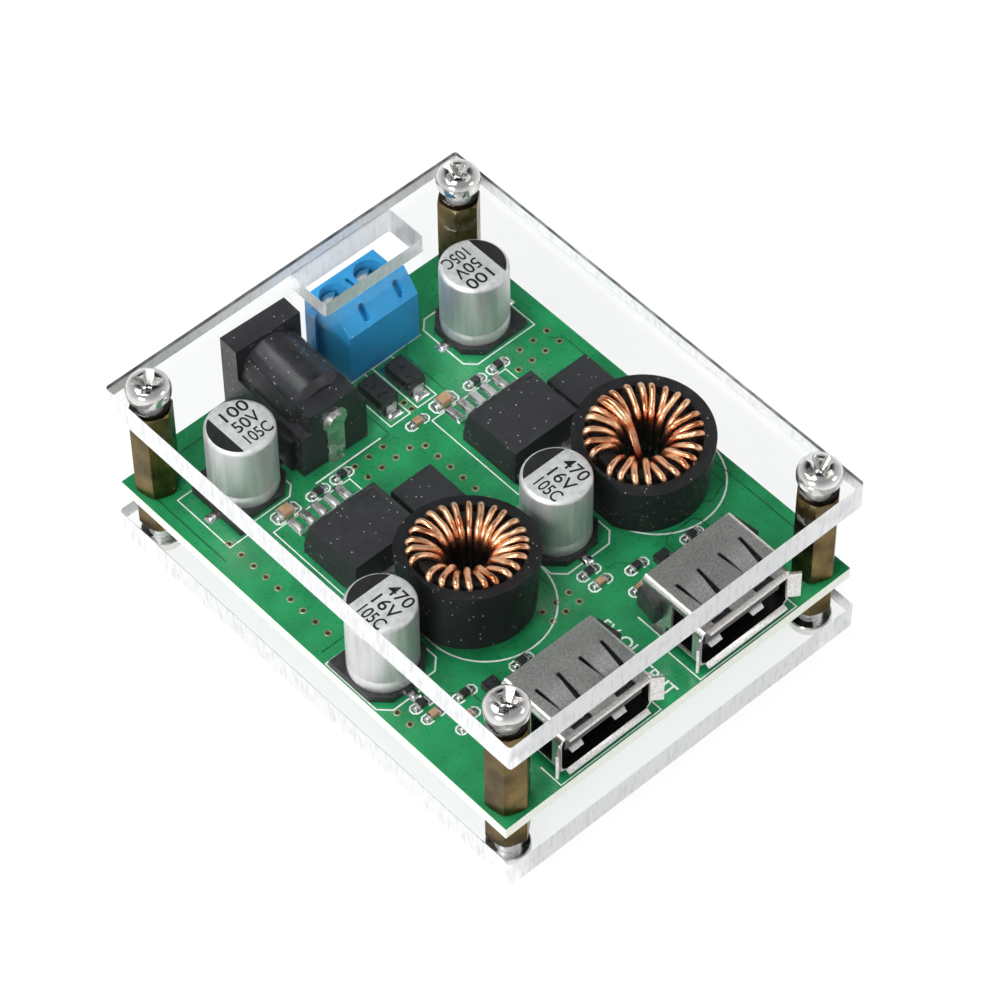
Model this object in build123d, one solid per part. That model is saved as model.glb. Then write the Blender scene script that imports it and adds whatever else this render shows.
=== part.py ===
from build123d import *
from math import atan2, cos, degrees, hypot, pi, radians, sin
import os

# A two-output step-down converter: a circuit board held between two clear plates.
# All sizes are in millimetres. +Z is up, +Y points to the input side, and the two
# output sockets face -Y. The origin is on the floor under the middle of the board.

# Fits between pieces
slip = 0.02              # between a pin and the hole that it is pressed or soldered into
thread_play = 0.05       # between a screw thread and its tapped hole, all round
board_hole_play = 0.2    # between a terminal pin and its hole in the board, all round

# Screws and standoffs
thread_diameter = 2.5
head_diameter = 5.1
head_height = 2.0
head_rounding = 0.8
recess_length = 2.9
recess_width = 0.7
recess_depth = 1.1
plate_hole_play = 0.2    # between a screw and the hole in a plate, all round
hex_across_flats = 4.5
hex_chamfer = 0.3
hex_turn = 40.0          # heading of one corner of the hexagon, in degrees
upper_standoff_length = 11.8
lower_standoff_length = 4.2
standoff_inset = 2.9     # from the edges of the board to the middle of a standoff
top_screw_grip = 4.0     # thread inside the upper standoff
bottom_screw_grip = 1.9  # thread inside the lower standoff
stud_grip = 1.9          # stud of the upper standoff inside the lower one
bore_run_out = 1.5       # how much deeper the tapped bore is than its screw

# Plates and board
board_thickness = 1.6
top_plate_thickness = 3.8
base_plate_thickness = 3.6
plate_corner_radius = 0.4
plate_end_overhang = 0.9
plate_side_overhang = 0.1

# Surface-mount electrolytic capacitors
can_diameter = 8.0
can_height = 10.3        # top of the can above the board
can_edge_radius = 0.55
can_bead_depth = 0.2     # how far the can is pinched in above its base
can_bead_height = 2.4    # from the board to the pinch
can_seat_height = 0.7    # from the board to the bottom of the can
base_spare = 0.15        # how far the square base stands out past the can, each side
base_height = 1.0
base_chamfer = 1.9
lead_strip_width = 0.9
lead_strip_thickness = 0.2
lead_strip_reach = 0.5   # how far a lead stands out past the base
lead_strip_start = 1.2   # from the middle of the base to the inner end of a lead

# Inductors: a ring core wound with wire, in a moulded cup
cup_height = 8.0
cup_wall = 0.8
cup_flare = 0.65         # how much wider the cup is at its rim than at its base
cup_floor = 0.8
cup_eye_radius = 2.6     # the hole through the floor of the cup
cup_flat_wall = 0.4      # the wall on the flat side that faces the capacitor
wire_diameter = 0.7
coil_outer_radius = 6.5
coil_inner_radius = 2.5
coil_rise = 0.9          # how far the coil stands above the rim of its cup
coil_turns = 25
coil_corner = 0.7        # how far the corners of a turn are cut off
wire_press = 0.12        # how far the crowded turns press into each other at the bore
coil_play = 0.03
coil_side_play = 0.05    # between the coil and the wall of its cup, at the base
cup_base_radius = coil_outer_radius + coil_side_play + cup_wall
cup_rim_radius = cup_base_radius + cup_flare
cup_flat_offset = coil_outer_radius + coil_side_play + cup_flat_wall  # from the axis to the flat
coil_lead_inset = 1.9    # from the outside of the coil to the two wire ends that go down to the board
coil_lead_hole_play = 0.55
cup_leans = (-8.1, 4.8)  # lean of each cup towards the lean heading, in degrees
lean_heading = 48.2      # heading of the lean in plan, in degrees

# Regulators: a moulded body on a metal tab, with five leads
regulator_width = 10.2
regulator_depth = 8.6
regulator_height = 4.4
regulator_taper = 8.0
regulator_tab_thickness = 1.27
regulator_tab_width = 9.6
regulator_tab_reach = 0.95
regulator_tab_under = 5.5
regulator_lead_count = 5
regulator_lead_pitch = 1.7
regulator_lead_width = 0.8
regulator_lead_thickness = 0.45
regulator_lead_exit = 2.45
regulator_lead_reach = 4.2
regulator_lead_foot = 2.0
regulator_lead_shoulder = 0.9
dimple_radius = 0.45
dimple_inset = 1.0
dimple_depth = 0.15

# Diodes: a small block with a strap folded under each end
power_diode_size = (5.9, 6.9, 2.3)
power_diode_strap = 3.0
input_diode_size = (2.6, 4.2, 2.2)
input_diode_strap = 1.45
diode_lift = 0.12
diode_taper = 5.0
strap_thickness = 0.22
strap_foot = 1.3

# Direct-current jack
jack_width = 9.0
jack_height = 11.0
jack_depth = 14.1
jack_flange_depth = 2.85
jack_axis_height = 6.5
jack_barrel_radius = 4.0
jack_barrel_end = 2.2    # from the back of the jack to the end of its round barrel
jack_barrel_bevel = 0.8
jack_block_height = 6.3
jack_neck_width = 6.6
jack_neck_height = 9.2
jack_bore_radius = 3.2
jack_bore_depth = 11.2
jack_mouth_bevel = 0.5
jack_rib_length = 4.0
jack_rib_height = 4.8
jack_rib_depth = 0.55
jack_rib_setback = 1.5
jack_turn = -2.0         # the jack was soldered a little askew, in degrees
jack_pin_radius = 1.0
jack_pin_recess = 0.8
jack_pin_bevel = 0.3
rivet_radius = 1.05
rivet_height = 0.35
tab_thickness = 0.3
tab_width = 2.3
tab_head_radius = 1.65
contact_width = 2.2
contact_thickness = 0.3
contact_length = 8.5
contact_drop = 2.85      # from the axis of the jack down to its spring contact
contact_leg_setback = 5.2
pin_reach = 1.4          # how far soldered pins stand out under the board

# Screw terminal
terminal_pitch = 5.08
terminal_depth = 7.6
terminal_height = 10.0
terminal_slope_depth = 2.2
terminal_slope_drop = 2.74
terminal_screw_hole_radius = 1.75
terminal_screw_setback = 2.2
terminal_screw_radius = 1.6
terminal_screw_recess = 1.2
terminal_screw_head = 1.8
terminal_screw_shank_radius = 1.0
terminal_slot_width = 0.6
terminal_slot_depth = 0.7
wire_entry_width = 3.7
wire_entry_depth = 5.4
wire_entry_floor = 1.0
wire_entry_height = 4.9
clamp_play = 0.1
clamp_depth = 3.4
clamp_wall = 0.5
clamp_roof = 1.2
terminal_strip_thickness = 0.4
terminal_strip_length = 4.4
terminal_pin_radius = 0.5
terminal_vent_length = 2.2
terminal_vent_width = 0.9
terminal_vent_shift = 0.6
terminal_vent_depth = 1.6
terminal_mark_length = 1.9
terminal_mark_width = 0.45
terminal_mark_depth = 0.6
dovetail_root = 1.0
dovetail_tip = 1.7
dovetail_reach = 0.7
dovetail_setback = 1.7
dovetail_play = 0.1

# USB sockets
usb_width = 13.1
usb_depth = 9.7
usb_top = 6.8
usb_shell_height = 5.7
usb_sheet = 0.3
usb_corner_radius = 0.7
usb_lip_length = 0.7     # the lips at the top and bottom of the mouth
usb_lip_angle = 30.0
usb_side_lip_length = 1.5
usb_side_lip_angle = 55.0
usb_leg_width = 1.8
usb_leg_setback = 4.6
usb_spring_spacing = 6.2
usb_spring_root_width = 3.1
usb_spring_tip_width = 2.3
usb_spring_root = 6.3    # from the mouth to the root of a spring tongue
usb_spring_tip = 1.7     # from the mouth to its free tip
usb_spring_slit = 0.45
usb_spring_gap = 1.0     # the opening in front of the free tip
usb_window_length = 3.2
usb_window_setback = 1.9
usb_block_depth = 3.2
usb_block_inset = 0.05
usb_wing_top = 5.3       # wings of the block stand out through the sides of the shell
usb_wing_height = 2.8
usb_wing_front_reach = 1.15
usb_wing_back_reach = 0.75
usb_foot_width = 11.6    # the block's foot, where the floor of the shell ends short of its back
usb_foot_length = 1.8
usb_tongue_width = 11.1
usb_tongue_thickness = 1.84
usb_tongue_drop = 0.75
usb_tongue_recess = 1.0
usb_contact_offsets = (-3.5, -1.0, 1.0, 3.5)
usb_contact_width = 1.0
usb_contact_thickness = 0.3
usb_pin_width = 0.6
usb_pin_setback = 0.4

# Chip parts, as length, width and height
large_chip_size = (2.0, 1.25, 0.9)
small_chip_size = (1.6, 0.85, 0.6)
chip_cap_length = 0.3
transistor_size = (1.7, 1.3, 1.0)
transistor_leg_width = 0.4
transistor_leg_reach = 0.5
transistor_leg_thickness = 0.15
transistor_lift = 0.1

# Chip parts behind each output socket: how far left of the middle of the cup, and how
# far behind the socket
pair_shifts = (11.6, 12.5)
upper_pair_room = 7.95
lower_pair_room = 6.1
filter_shift = 8.1
filter_room = 5.05
sense_shift = 0.8
sense_room = 4.1
divider_shift = 9.8
divider_room = 2.65
switch_shift = 5.5
switch_room = 3.75

# Chip parts behind each regulator, from its middle and from the toes of its leads
chip_row_gap = 1.0
inner_chip_shift = 1.4
outer_chip_shift = 4.85
row_capacitor_shift = 3.1
row_capacitor_setback = 0.2
input_chip_shift = 7.2

# Places across the board, from its left edge
board_left_margin = 0.3
board_right_margin = 1.05
cup_gaps = (0.35, 0.95)  # from the base of each output capacitor to the flat of its cup
channel_gap = 1.5        # from the left cup to the base of the right output capacitor
base_size = can_diameter + 2 * base_spare
left_output_x = board_left_margin + base_size / 2
left_cup_x = left_output_x + base_size / 2 + cup_gaps[0] + cup_flat_offset
right_output_x = left_cup_x + cup_rim_radius + channel_gap + base_size / 2
right_cup_x = right_output_x + base_size / 2 + cup_gaps[1] + cup_flat_offset
board_width = right_cup_x + cup_rim_radius + board_right_margin
regulator_margin = 7.7
regulator_pitch = 23.2
regulator_diode_gap = 1.05
left_regulator_x = regulator_margin + regulator_width / 2
diode_shift = regulator_width / 2 + regulator_diode_gap + power_diode_size[0] / 2
input_margin = 4.75
jack_gap = 1.95
terminal_gap = 3.2
input_cap_gap = 1.55
terminal_width = 2 * terminal_pitch
left_input_x = input_margin + base_size / 2
jack_x = left_input_x + base_size / 2 + jack_gap + jack_width / 2
terminal_x = jack_x + jack_width / 2 + terminal_gap + terminal_width / 2
right_input_x = terminal_x + terminal_width / 2 + input_cap_gap + base_size / 2
input_diode_shifts = (-4.6, -0.6)
usb_margin = 8.5
usb_gap = 7.15
left_usb_x = usb_margin + usb_width / 2
right_usb_x = left_usb_x + usb_width + usb_gap

# Places along the board, from its front edge
usb_setback = 0.25
usb_cup_gap = 5.4
output_cap_shift = 0.9   # the output capacitors stand this much further back than the cups
cup_regulator_gap = 0.0
regulator_cap_gap = 3.1
input_diode_shift = -0.9
board_back_zone = 6.5
jack_setback = 0.3
terminal_setback = 0.0
usb_back = usb_setback + usb_depth
cup_y = usb_back + usb_cup_gap + cup_rim_radius
output_y = cup_y + output_cap_shift
regulator_front = cup_y + cup_rim_radius + cup_regulator_gap + regulator_tab_reach
regulator_y = regulator_front + regulator_depth / 2
lead_toes_y = regulator_front + regulator_depth + regulator_lead_reach
power_diode_y = regulator_front + regulator_depth / 2 - 0.5
input_y = lead_toes_y + regulator_cap_gap + base_size / 2
board_length = input_y + base_size / 2 + board_back_zone
jack_y = board_length - jack_setback
terminal_y = board_length - terminal_setback
chip_row_y = lead_toes_y + chip_row_gap

# Heights
base_plate_bottom = head_height
board_bottom = base_plate_bottom + base_plate_thickness + lower_standoff_length
board_top = board_bottom + board_thickness
top_plate_bottom = board_top + upper_standoff_length
top_plate_top = top_plate_bottom + top_plate_thickness

# Slot in the top plate, over the heads of the terminal screws
slot_side_room = 2.15
slot_width = 5.9
slot_back_margin = 1.35  # from the back edge of the plate to the slot
slot_corner_radius = 0.4

plate_width = board_width + 2 * plate_side_overhang
plate_length = board_length + 2 * plate_end_overhang
thread_radius = thread_diameter / 2 - thread_play
bore_radius = thread_diameter / 2
pin_length = board_thickness + pin_reach


def on_board(x, y, z=0.0):
    """A place from the board's left and front edges and its top face."""
    return Location((x - board_width / 2, y - board_length / 2, board_top + z))


def block(x_size, y_size, z_size):
    """A block centred in plan that stands on z = 0."""
    return Box(x_size, y_size, z_size, align=(Align.CENTER, Align.CENTER, Align.MIN))


def post(radius, height):
    """An upright cylinder that stands on z = 0."""
    return Cylinder(radius, height, align=(Align.CENTER, Align.CENTER, Align.MIN))


def prism(points, width):
    """A Y-Z outline drawn out along X, centred on x = 0."""
    outline = make_face(Polyline(points, close=True))
    return extrude(Plane.YZ * outline, width / 2, both=True)


def save(name, *pieces):
    """Writes one node from its separate solids."""
    solids = [solid for piece in pieces for solid in piece.solids()]
    shape = solids[0] if len(solids) == 1 else Compound(solids)
    export_step(shape, f"parts/{name}.step")


def corner_places():
    """The middles of the four standoffs, from the middle of the board."""
    x = board_width / 2 - standoff_inset
    y = board_length / 2 - standoff_inset
    return [(-x, -y), (x, -y), (x, y), (-x, y)]


def plate(thickness):
    outline = RectangleRounded(plate_width, plate_length, plate_corner_radius)
    sheet = extrude(outline, thickness)
    hole = post(thread_diameter / 2 + plate_hole_play, thickness)
    for x, y in corner_places():
        sheet -= Pos(x, y) * hole
    return sheet


def top_plate():
    slot_length = terminal_width + 2 * slot_side_room
    slot = extrude(RectangleRounded(slot_length, slot_width, slot_corner_radius), top_plate_thickness)
    slot_x = terminal_x - board_width / 2
    slot_y = plate_length / 2 - slot_back_margin - slot_width / 2
    return Pos(0, 0, top_plate_bottom) * (plate(top_plate_thickness) - Pos(slot_x, slot_y) * slot)


def screw(grip_length):
    """A pan-head screw, its head's seat on z = 0 and its thread pointing down."""
    head = post(head_diameter / 2, head_height)
    head = fillet(head.edges().sort_by(Axis.Z)[-1], head_rounding)
    for turn in (0, 90):
        bar = Rot(0, 0, turn) * block(recess_length, recess_width, recess_depth)
        head -= Pos(0, 0, head_height - recess_depth) * bar
    return head + Pos(0, 0, -grip_length) * post(thread_radius, grip_length)


def hexagon(length):
    corner_radius = hex_across_flats / 2 / cos(pi / 6)
    prism_solid = extrude(RegularPolygon(corner_radius, 6), length)
    turned = chamfer(post(corner_radius, length).edges().filter_by(GeomType.CIRCLE), hex_chamfer)
    return Rot(0, 0, hex_turn) * (prism_solid & turned)


def upper_standoff():
    bore_depth = top_screw_grip + bore_run_out
    body = hexagon(upper_standoff_length)
    body -= Pos(0, 0, upper_standoff_length - bore_depth) * post(bore_radius, bore_depth)
    stud_length = board_thickness + stud_grip
    return body + Pos(0, 0, -stud_length) * post(thread_radius, stud_length)


def lower_standoff():
    return hexagon(lower_standoff_length) - post(bore_radius, lower_standoff_length)


def save_fasteners():
    top_screw = Rot(0, 0, 20) * screw(top_plate_thickness + top_screw_grip)
    bottom_screw = Rot(180, 0, 0) * screw(base_plate_thickness + bottom_screw_grip)
    rows = (
        ("top_screws", top_screw, top_plate_top),
        ("upper_standoffs", upper_standoff(), board_top),
        ("lower_standoffs", lower_standoff(), base_plate_bottom + base_plate_thickness),
        ("bottom_screws", bottom_screw, base_plate_bottom),
    )
    for name, piece, height in rows:
        save(name, *[Pos(x, y, height) * piece for x, y in corner_places()])


def capacitor_places():
    """Name, place and heading of each capacitor's positive side."""
    return (
        ("left_input_capacitor", on_board(left_input_x, input_y), 0),
        ("right_input_capacitor", on_board(right_input_x, input_y), 180),
        ("left_output_capacitor", on_board(left_output_x, output_y), -90),
        ("right_output_capacitor", on_board(right_output_x, output_y), -90),
    )


def capacitor_can():
    radius = can_diameter / 2
    pinched = radius - can_bead_depth
    bead_half = 2 * can_bead_depth
    edge = can_edge_radius
    side = Polyline(
        (0, can_seat_height),
        (radius - can_bead_depth, can_seat_height),
        (radius, can_seat_height + can_bead_depth),
        (radius, can_bead_height - bead_half),
        (pinched, can_bead_height),
        (radius, can_bead_height + bead_half),
        (radius, can_height - edge),
    )
    rounding = RadiusArc((radius, can_height - edge), (radius - edge, can_height), -edge)
    top = Polyline((radius - edge, can_height), (0, can_height), (0, can_seat_height))
    outline = make_face(Plane.XZ * Curve([*side.edges(), *rounding.edges(), *top.edges()]))
    return revolve(outline, Axis.Z)


def capacitor_base():
    outline = Rectangle(base_size, base_size)
    marked_corners = outline.vertices().sort_by(Axis.X)[-2:]
    base = extrude(chamfer(marked_corners, base_chamfer), base_height)
    base -= Pos(0, 0, can_seat_height) * post(can_diameter / 2, base_height - can_seat_height)
    groove = block(base_size, lead_strip_width, lead_strip_thickness)
    gap = block(2 * lead_strip_start, lead_strip_width, lead_strip_thickness)
    return base - (groove - gap)


def capacitor_leads():
    length = base_size / 2 + lead_strip_reach - lead_strip_start
    strip = block(length, lead_strip_width, lead_strip_thickness)
    middle = lead_strip_start + length / 2
    return [Pos(side * middle, 0) * strip for side in (-1, 1)]


def save_capacitors():
    can = capacitor_can()
    base = capacitor_base()
    leads = capacitor_leads()
    for name, place, heading in capacitor_places():
        spot = place * Rot(0, 0, heading)
        save(f"{name}_can", spot * can)
        save(f"{name}_base", spot * base)
        save(f"{name}_leads", *[spot * lead for lead in leads])


def inductor_place(x, lean):
    """The cup's own frame: it leans, and the low edge of its base rests on the board."""
    lift = cup_base_radius * abs(sin(radians(lean)))
    tilt = Rot(0, 0, lean_heading) * Rot(0, -lean, 0) * Rot(0, 0, -lean_heading)
    return on_board(x, cup_y, lift) * tilt


def inductor_cup():
    outer = extrude(Circle(cup_base_radius), cup_height, taper=-degrees(atan2(
        cup_rim_radius - cup_base_radius, cup_height)))
    inner_radius = cup_rim_radius - cup_wall
    keep = 2 * cup_rim_radius
    outer_flat = Pos(-cup_flat_offset - keep / 2, 0) * block(keep, keep, cup_height)
    room = Pos(0, 0, cup_floor) * post(inner_radius - (cup_rim_radius - cup_base_radius), cup_height)
    room += Pos(0, 0, cup_floor) * post(coil_outer_radius + coil_play, cup_height)
    inner_flat = Pos(-cup_flat_offset + cup_flat_wall - keep / 2, 0) * block(keep, keep, 2 * cup_height)
    room -= inner_flat
    cup = outer - outer_flat - room - post(cup_eye_radius, cup_floor)
    for x, y in coil_lead_points():
        cup -= Pos(x, y) * post(wire_diameter / 2 + slip, cup_floor)
    return cup


def coil_lead_points():
    radius = coil_outer_radius - coil_lead_inset
    return [(radius * cos(radians(a)), radius * sin(radians(a))) for a in (-60, 120)]


def coil_bottom():
    return cup_floor + coil_play


def coil_top():
    return cup_height + coil_rise


def inductor_core():
    clear = wire_diameter + coil_play
    bottom = coil_bottom() + clear
    height = coil_top() - clear - bottom
    ring = post(coil_outer_radius - clear, height) - post(coil_inner_radius + clear, height)
    return Pos(0, 0, bottom) * ring


def coil_turn():
    """One turn of wire round the core, an eight-sided ring that stands in the X-Z plane."""
    width = coil_outer_radius - coil_inner_radius
    height = coil_top() - coil_bottom()
    outer = chamfer(Rectangle(width, height).vertices(), coil_corner)
    hole = Rectangle(width - 2 * wire_diameter, height - 2 * wire_diameter)
    ring = extrude(Plane.XZ * (outer - hole), wire_diameter / 2, both=True)
    side_edges = ring.edges().filter_by(GeomType.LINE).filter_by(Axis.Y, reverse=True)
    ring = chamfer(side_edges, wire_diameter * 0.22)
    return Pos((coil_outer_radius + coil_inner_radius) / 2, 0, coil_bottom() + height / 2) * ring


def inductor_winding():
    """The turns crowd together at the bore, where they are pressed into one another."""
    turn = coil_turn()
    height = coil_top() - coil_bottom() - 2 * wire_diameter
    sleeve = post(coil_inner_radius + wire_diameter, height)
    sleeve -= post(coil_inner_radius + wire_press, height)
    winding = Pos(0, 0, coil_bottom() + wire_diameter) * sleeve
    turns = [Rot(0, 0, 360 * i / coil_turns) * turn for i in range(coil_turns)]
    winding = winding.fuse(*turns)
    lead_top = coil_bottom() + wire_diameter / 2
    lead = Pos(0, 0, -pin_length) * post(wire_diameter / 2, pin_length + lead_top)
    for x, y in coil_lead_points():
        winding += Pos(x, y) * lead
    return winding


def save_inductors():
    cup = inductor_cup()
    core = inductor_core()
    winding = inductor_winding()
    for side, x, lean in (("left", left_cup_x, cup_leans[0]), ("right", right_cup_x, cup_leans[1])):
        spot = inductor_place(x, lean)
        save(f"{side}_inductor_cup", spot * cup)
        save(f"{side}_inductor_core", spot * core)
        save(f"{side}_inductor_winding", spot * winding)


def gull_wing(height, reach, shoulder, foot, thickness, width):
    """A lead that leaves a body at y = 0, bends down and ends flat on z = 0."""
    knee = reach - foot
    outline = [
        (0, height), (shoulder, height), (knee, thickness), (reach, thickness), (reach, 0),
        (knee - thickness / 2, 0), (shoulder - thickness / 2, height - thickness), (0, height - thickness),
    ]
    return prism(outline, width)


def regulator_body():
    skirt = block(regulator_width, regulator_depth, regulator_tab_thickness)
    top = Rectangle(regulator_width, regulator_depth)
    dome = extrude(top, regulator_height - regulator_tab_thickness, taper=regulator_taper)
    body = skirt + Pos(0, 0, regulator_tab_thickness) * dome
    inset = dimple_inset + (regulator_height - regulator_tab_thickness) * sin(radians(regulator_taper))
    x = regulator_width / 2 - inset
    y = regulator_depth / 2 - inset
    body -= Pos(x, y, regulator_height - dimple_depth) * post(dimple_radius, dimple_depth)
    return body - regulator_tab()


def regulator_tab():
    length = regulator_tab_reach + regulator_tab_under
    y = -regulator_depth / 2 - regulator_tab_reach + length / 2
    return Pos(0, y) * block(regulator_tab_width, length, regulator_tab_thickness)


def regulator_leads():
    lead = gull_wing(regulator_lead_exit, regulator_lead_reach, regulator_lead_shoulder,
                     regulator_lead_foot, regulator_lead_thickness, regulator_lead_width)
    first = -(regulator_lead_count - 1) / 2 * regulator_lead_pitch
    slope = (regulator_lead_exit - regulator_tab_thickness) * sin(radians(regulator_taper))
    root = Pos(0, -slope / 2, regulator_lead_exit - regulator_lead_thickness / 2) * Box(
        regulator_lead_width, slope, regulator_lead_thickness)
    lead += root
    return [Pos(first + i * regulator_lead_pitch, regulator_depth / 2) * lead
            for i in range(regulator_lead_count)]


def save_regulators():
    leads = regulator_leads()
    body = regulator_body()
    for lead in leads:
        body -= lead
    tab = regulator_tab()
    for i, side in enumerate(("left", "right")):
        spot = on_board(left_regulator_x + i * regulator_pitch, regulator_y)
        save(f"{side}_regulator_body", spot * body)
        save(f"{side}_regulator_tab", spot * tab)
        save(f"{side}_regulator_leads", *[spot * lead for lead in leads])


def diode_body(size):
    """A moulded block that narrows upwards and downwards from its middle."""
    half = (size[2] - diode_lift) / 2
    upper = extrude(Rectangle(size[0], size[1]), half, taper=diode_taper)
    lower = extrude(Rectangle(size[0], size[1]), -half, taper=diode_taper)
    return Pos(0, 0, diode_lift + half) * (upper + lower)


def diode_straps(size, width):
    """A strap leaves each end of the block at half height and folds down under it."""
    end = size[1] / 2 + strap_thickness
    exit_height = (size[2] + diode_lift) / 2 + strap_thickness / 2
    outline = [
        (end - strap_thickness, exit_height), (end, exit_height), (end, 0), (end - strap_foot, 0),
        (end - strap_foot, diode_lift), (end - strap_thickness, diode_lift),
    ]
    strap = prism(outline, width)
    return [strap, Rot(0, 0, 180) * strap]


def save_diodes():
    rows = []
    for i, side in enumerate(("left", "right")):
        x = left_regulator_x + diode_shift + i * regulator_pitch
        rows.append((f"{side}_power_diode", x, power_diode_y, power_diode_size, power_diode_strap))
    y = input_y + input_diode_shift
    for side, shift in zip(("left", "right"), input_diode_shifts):
        rows.append((f"{side}_input_diode", terminal_x + shift, y, input_diode_size, input_diode_strap))
    for name, x, y, size, width in rows:
        spot = on_board(x, y)
        save(f"{name}_body", spot * diode_body(size))
        save(f"{name}_straps", *[spot * strap for strap in diode_straps(size, width)])


def jack_place():
    """The jack's own frame: x = 0 on its axis, y = 0 on its face, z = 0 on the board."""
    return on_board(jack_x, jack_y) * Rot(0, 0, jack_turn)


def along_y(radius, front, back):
    """A cylinder along Y round the axis of the jack."""
    middle = Pos(0, (front + back) / 2, jack_axis_height)
    return middle * Rot(90, 0, 0) * Cylinder(radius, abs(front - back))


def jack_housing():
    flange = Pos(0, -jack_flange_depth / 2) * block(jack_width, jack_flange_depth, jack_height)
    lower = Pos(0, -jack_depth / 2) * block(jack_width, jack_depth, jack_block_height)
    barrel = along_y(jack_barrel_radius, 0, jack_barrel_end - jack_depth)
    barrel = chamfer(barrel.edges().filter_by(GeomType.CIRCLE).sort_by(Axis.Y)[0], jack_barrel_bevel)
    neck = Pos(0, -jack_depth / 2) * block(jack_neck_width, jack_depth, jack_neck_height)
    rib_x = -jack_width / 2 - jack_rib_depth / 2
    rib_y = -jack_depth + jack_rib_setback + jack_rib_length / 2
    rib = Pos(rib_x, rib_y) * block(jack_rib_depth, jack_rib_length, jack_rib_height)
    housing = flange + lower + barrel + neck + rib
    bore = along_y(jack_bore_radius, 0, -jack_bore_depth)
    housing -= bore
    mouth = along_y(jack_bore_radius + jack_mouth_bevel, 0, -jack_mouth_bevel)
    mouth = chamfer(mouth.edges().filter_by(GeomType.CIRCLE).sort_by(Axis.Y)[0], jack_mouth_bevel - slip)
    housing -= mouth
    housing -= along_y(jack_pin_radius + slip, -jack_bore_depth, -jack_depth)
    leg_y = contact_leg_setback - jack_depth
    leg_slot = block(contact_width + 2 * slip, contact_thickness + 2 * slip, jack_axis_height)
    return housing - Pos(0, leg_y) * leg_slot


def jack_centre_pin():
    pin = along_y(jack_pin_radius, -jack_pin_recess, -jack_depth - tab_thickness - rivet_height)
    front_edge = pin.edges().filter_by(GeomType.CIRCLE).sort_by(Axis.Y)[-1]
    pin = chamfer(front_edge, jack_pin_bevel)
    head_front = -jack_depth - tab_thickness
    return pin + along_y(rivet_radius + slip, head_front, head_front - rivet_height)


def jack_rear_tab():
    head = along_y(tab_head_radius, -jack_depth, -jack_depth - tab_thickness)
    y = -jack_depth - tab_thickness / 2
    stem = Pos(0, y) * block(tab_width, tab_thickness, jack_axis_height)
    leg = Pos(0, y, -pin_length) * block(tab_width / 2, tab_thickness, pin_length)
    hole = along_y(jack_pin_radius + slip, -jack_depth, -jack_depth - tab_thickness)
    return head + stem + leg - hole


def jack_spring_contact():
    leaf_z = jack_axis_height - contact_drop
    leg_y = contact_leg_setback - jack_depth
    middle_y = contact_length / 2 - jack_bore_depth
    leaf = Pos(0, middle_y, leaf_z) * block(contact_width, contact_length, contact_thickness)
    leg = Pos(0, leg_y, -pin_length) * block(contact_width, contact_thickness, leaf_z + pin_length)
    return leaf + leg


def save_jack():
    spot = jack_place()
    save("jack_housing", spot * jack_housing())
    save("jack_centre_pin", spot * jack_centre_pin())
    save("jack_rear_tab", spot * jack_rear_tab())
    save("jack_spring_contact", spot * jack_spring_contact())


def terminal_places():
    """The two wire positions, from the middle of the terminal."""
    return [-terminal_pitch / 2, terminal_pitch / 2]


def dovetail(root, tip, reach, height):
    corners = [(0, -root / 2), (-reach, -tip / 2), (-reach, tip / 2), (0, root / 2)]
    return extrude(make_face(Polyline(corners, close=True)), height)


def terminal_housing():
    body = prism([
        (0, 0), (0, terminal_height), (terminal_slope_depth - terminal_depth, terminal_height),
        (-terminal_depth, terminal_height - terminal_slope_drop), (-terminal_depth, 0),
    ], terminal_width)
    slope = degrees(atan2(terminal_slope_drop, terminal_slope_depth))
    slope_middle_y = -terminal_depth + terminal_slope_depth / 2
    slope_middle_z = terminal_height - terminal_slope_drop / 2
    vent = extrude(SlotOverall(terminal_vent_length, terminal_vent_width, rotation=90),
                   terminal_vent_depth / 2, both=True)
    for x in terminal_places():
        body -= Pos(x, -terminal_screw_setback, wire_entry_floor) * post(
            terminal_screw_hole_radius, terminal_height)
        entry = block(wire_entry_width, wire_entry_depth, wire_entry_height)
        body -= Pos(x, -wire_entry_depth / 2, wire_entry_floor) * entry
        body -= Pos(x, -terminal_screw_setback) * post(terminal_pin_radius + slip, wire_entry_floor)
        vent_place = Pos(x + terminal_vent_shift, slope_middle_y, slope_middle_z) * Rot(slope, 0, 0)
        body -= vent_place * vent
    mark = block(terminal_mark_width, terminal_mark_length, terminal_mark_depth)
    body -= Pos(0, -terminal_screw_setback, terminal_height - terminal_mark_depth) * mark
    rail_height = terminal_height - terminal_slope_drop
    y = -dovetail_setback
    body += Pos(-terminal_width / 2, y) * dovetail(dovetail_root, dovetail_tip, dovetail_reach, rail_height)
    groove = dovetail(dovetail_root + 2 * dovetail_play, dovetail_tip + 2 * dovetail_play, dovetail_reach,
                      rail_height)
    return body - Pos(terminal_width / 2, y) * groove


def terminal_screw():
    """A slotted screw, its head below the top face and its tip in the clamp."""
    head_top = terminal_height - terminal_screw_recess
    head_bottom = head_top - terminal_screw_head
    head = Pos(0, 0, head_bottom) * post(terminal_screw_radius, terminal_screw_head)
    slot = block(2 * terminal_screw_radius, terminal_slot_width, terminal_slot_depth)
    head -= Pos(0, 0, head_top - terminal_slot_depth) * Rot(0, 0, 35) * slot
    shank_bottom = clamp_top() - clamp_roof
    return head + Pos(0, 0, shank_bottom) * post(terminal_screw_shank_radius, head_bottom - shank_bottom)


def clamp_bottom():
    return wire_entry_floor + terminal_strip_thickness


def clamp_top():
    return wire_entry_floor + wire_entry_height - clamp_play


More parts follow.
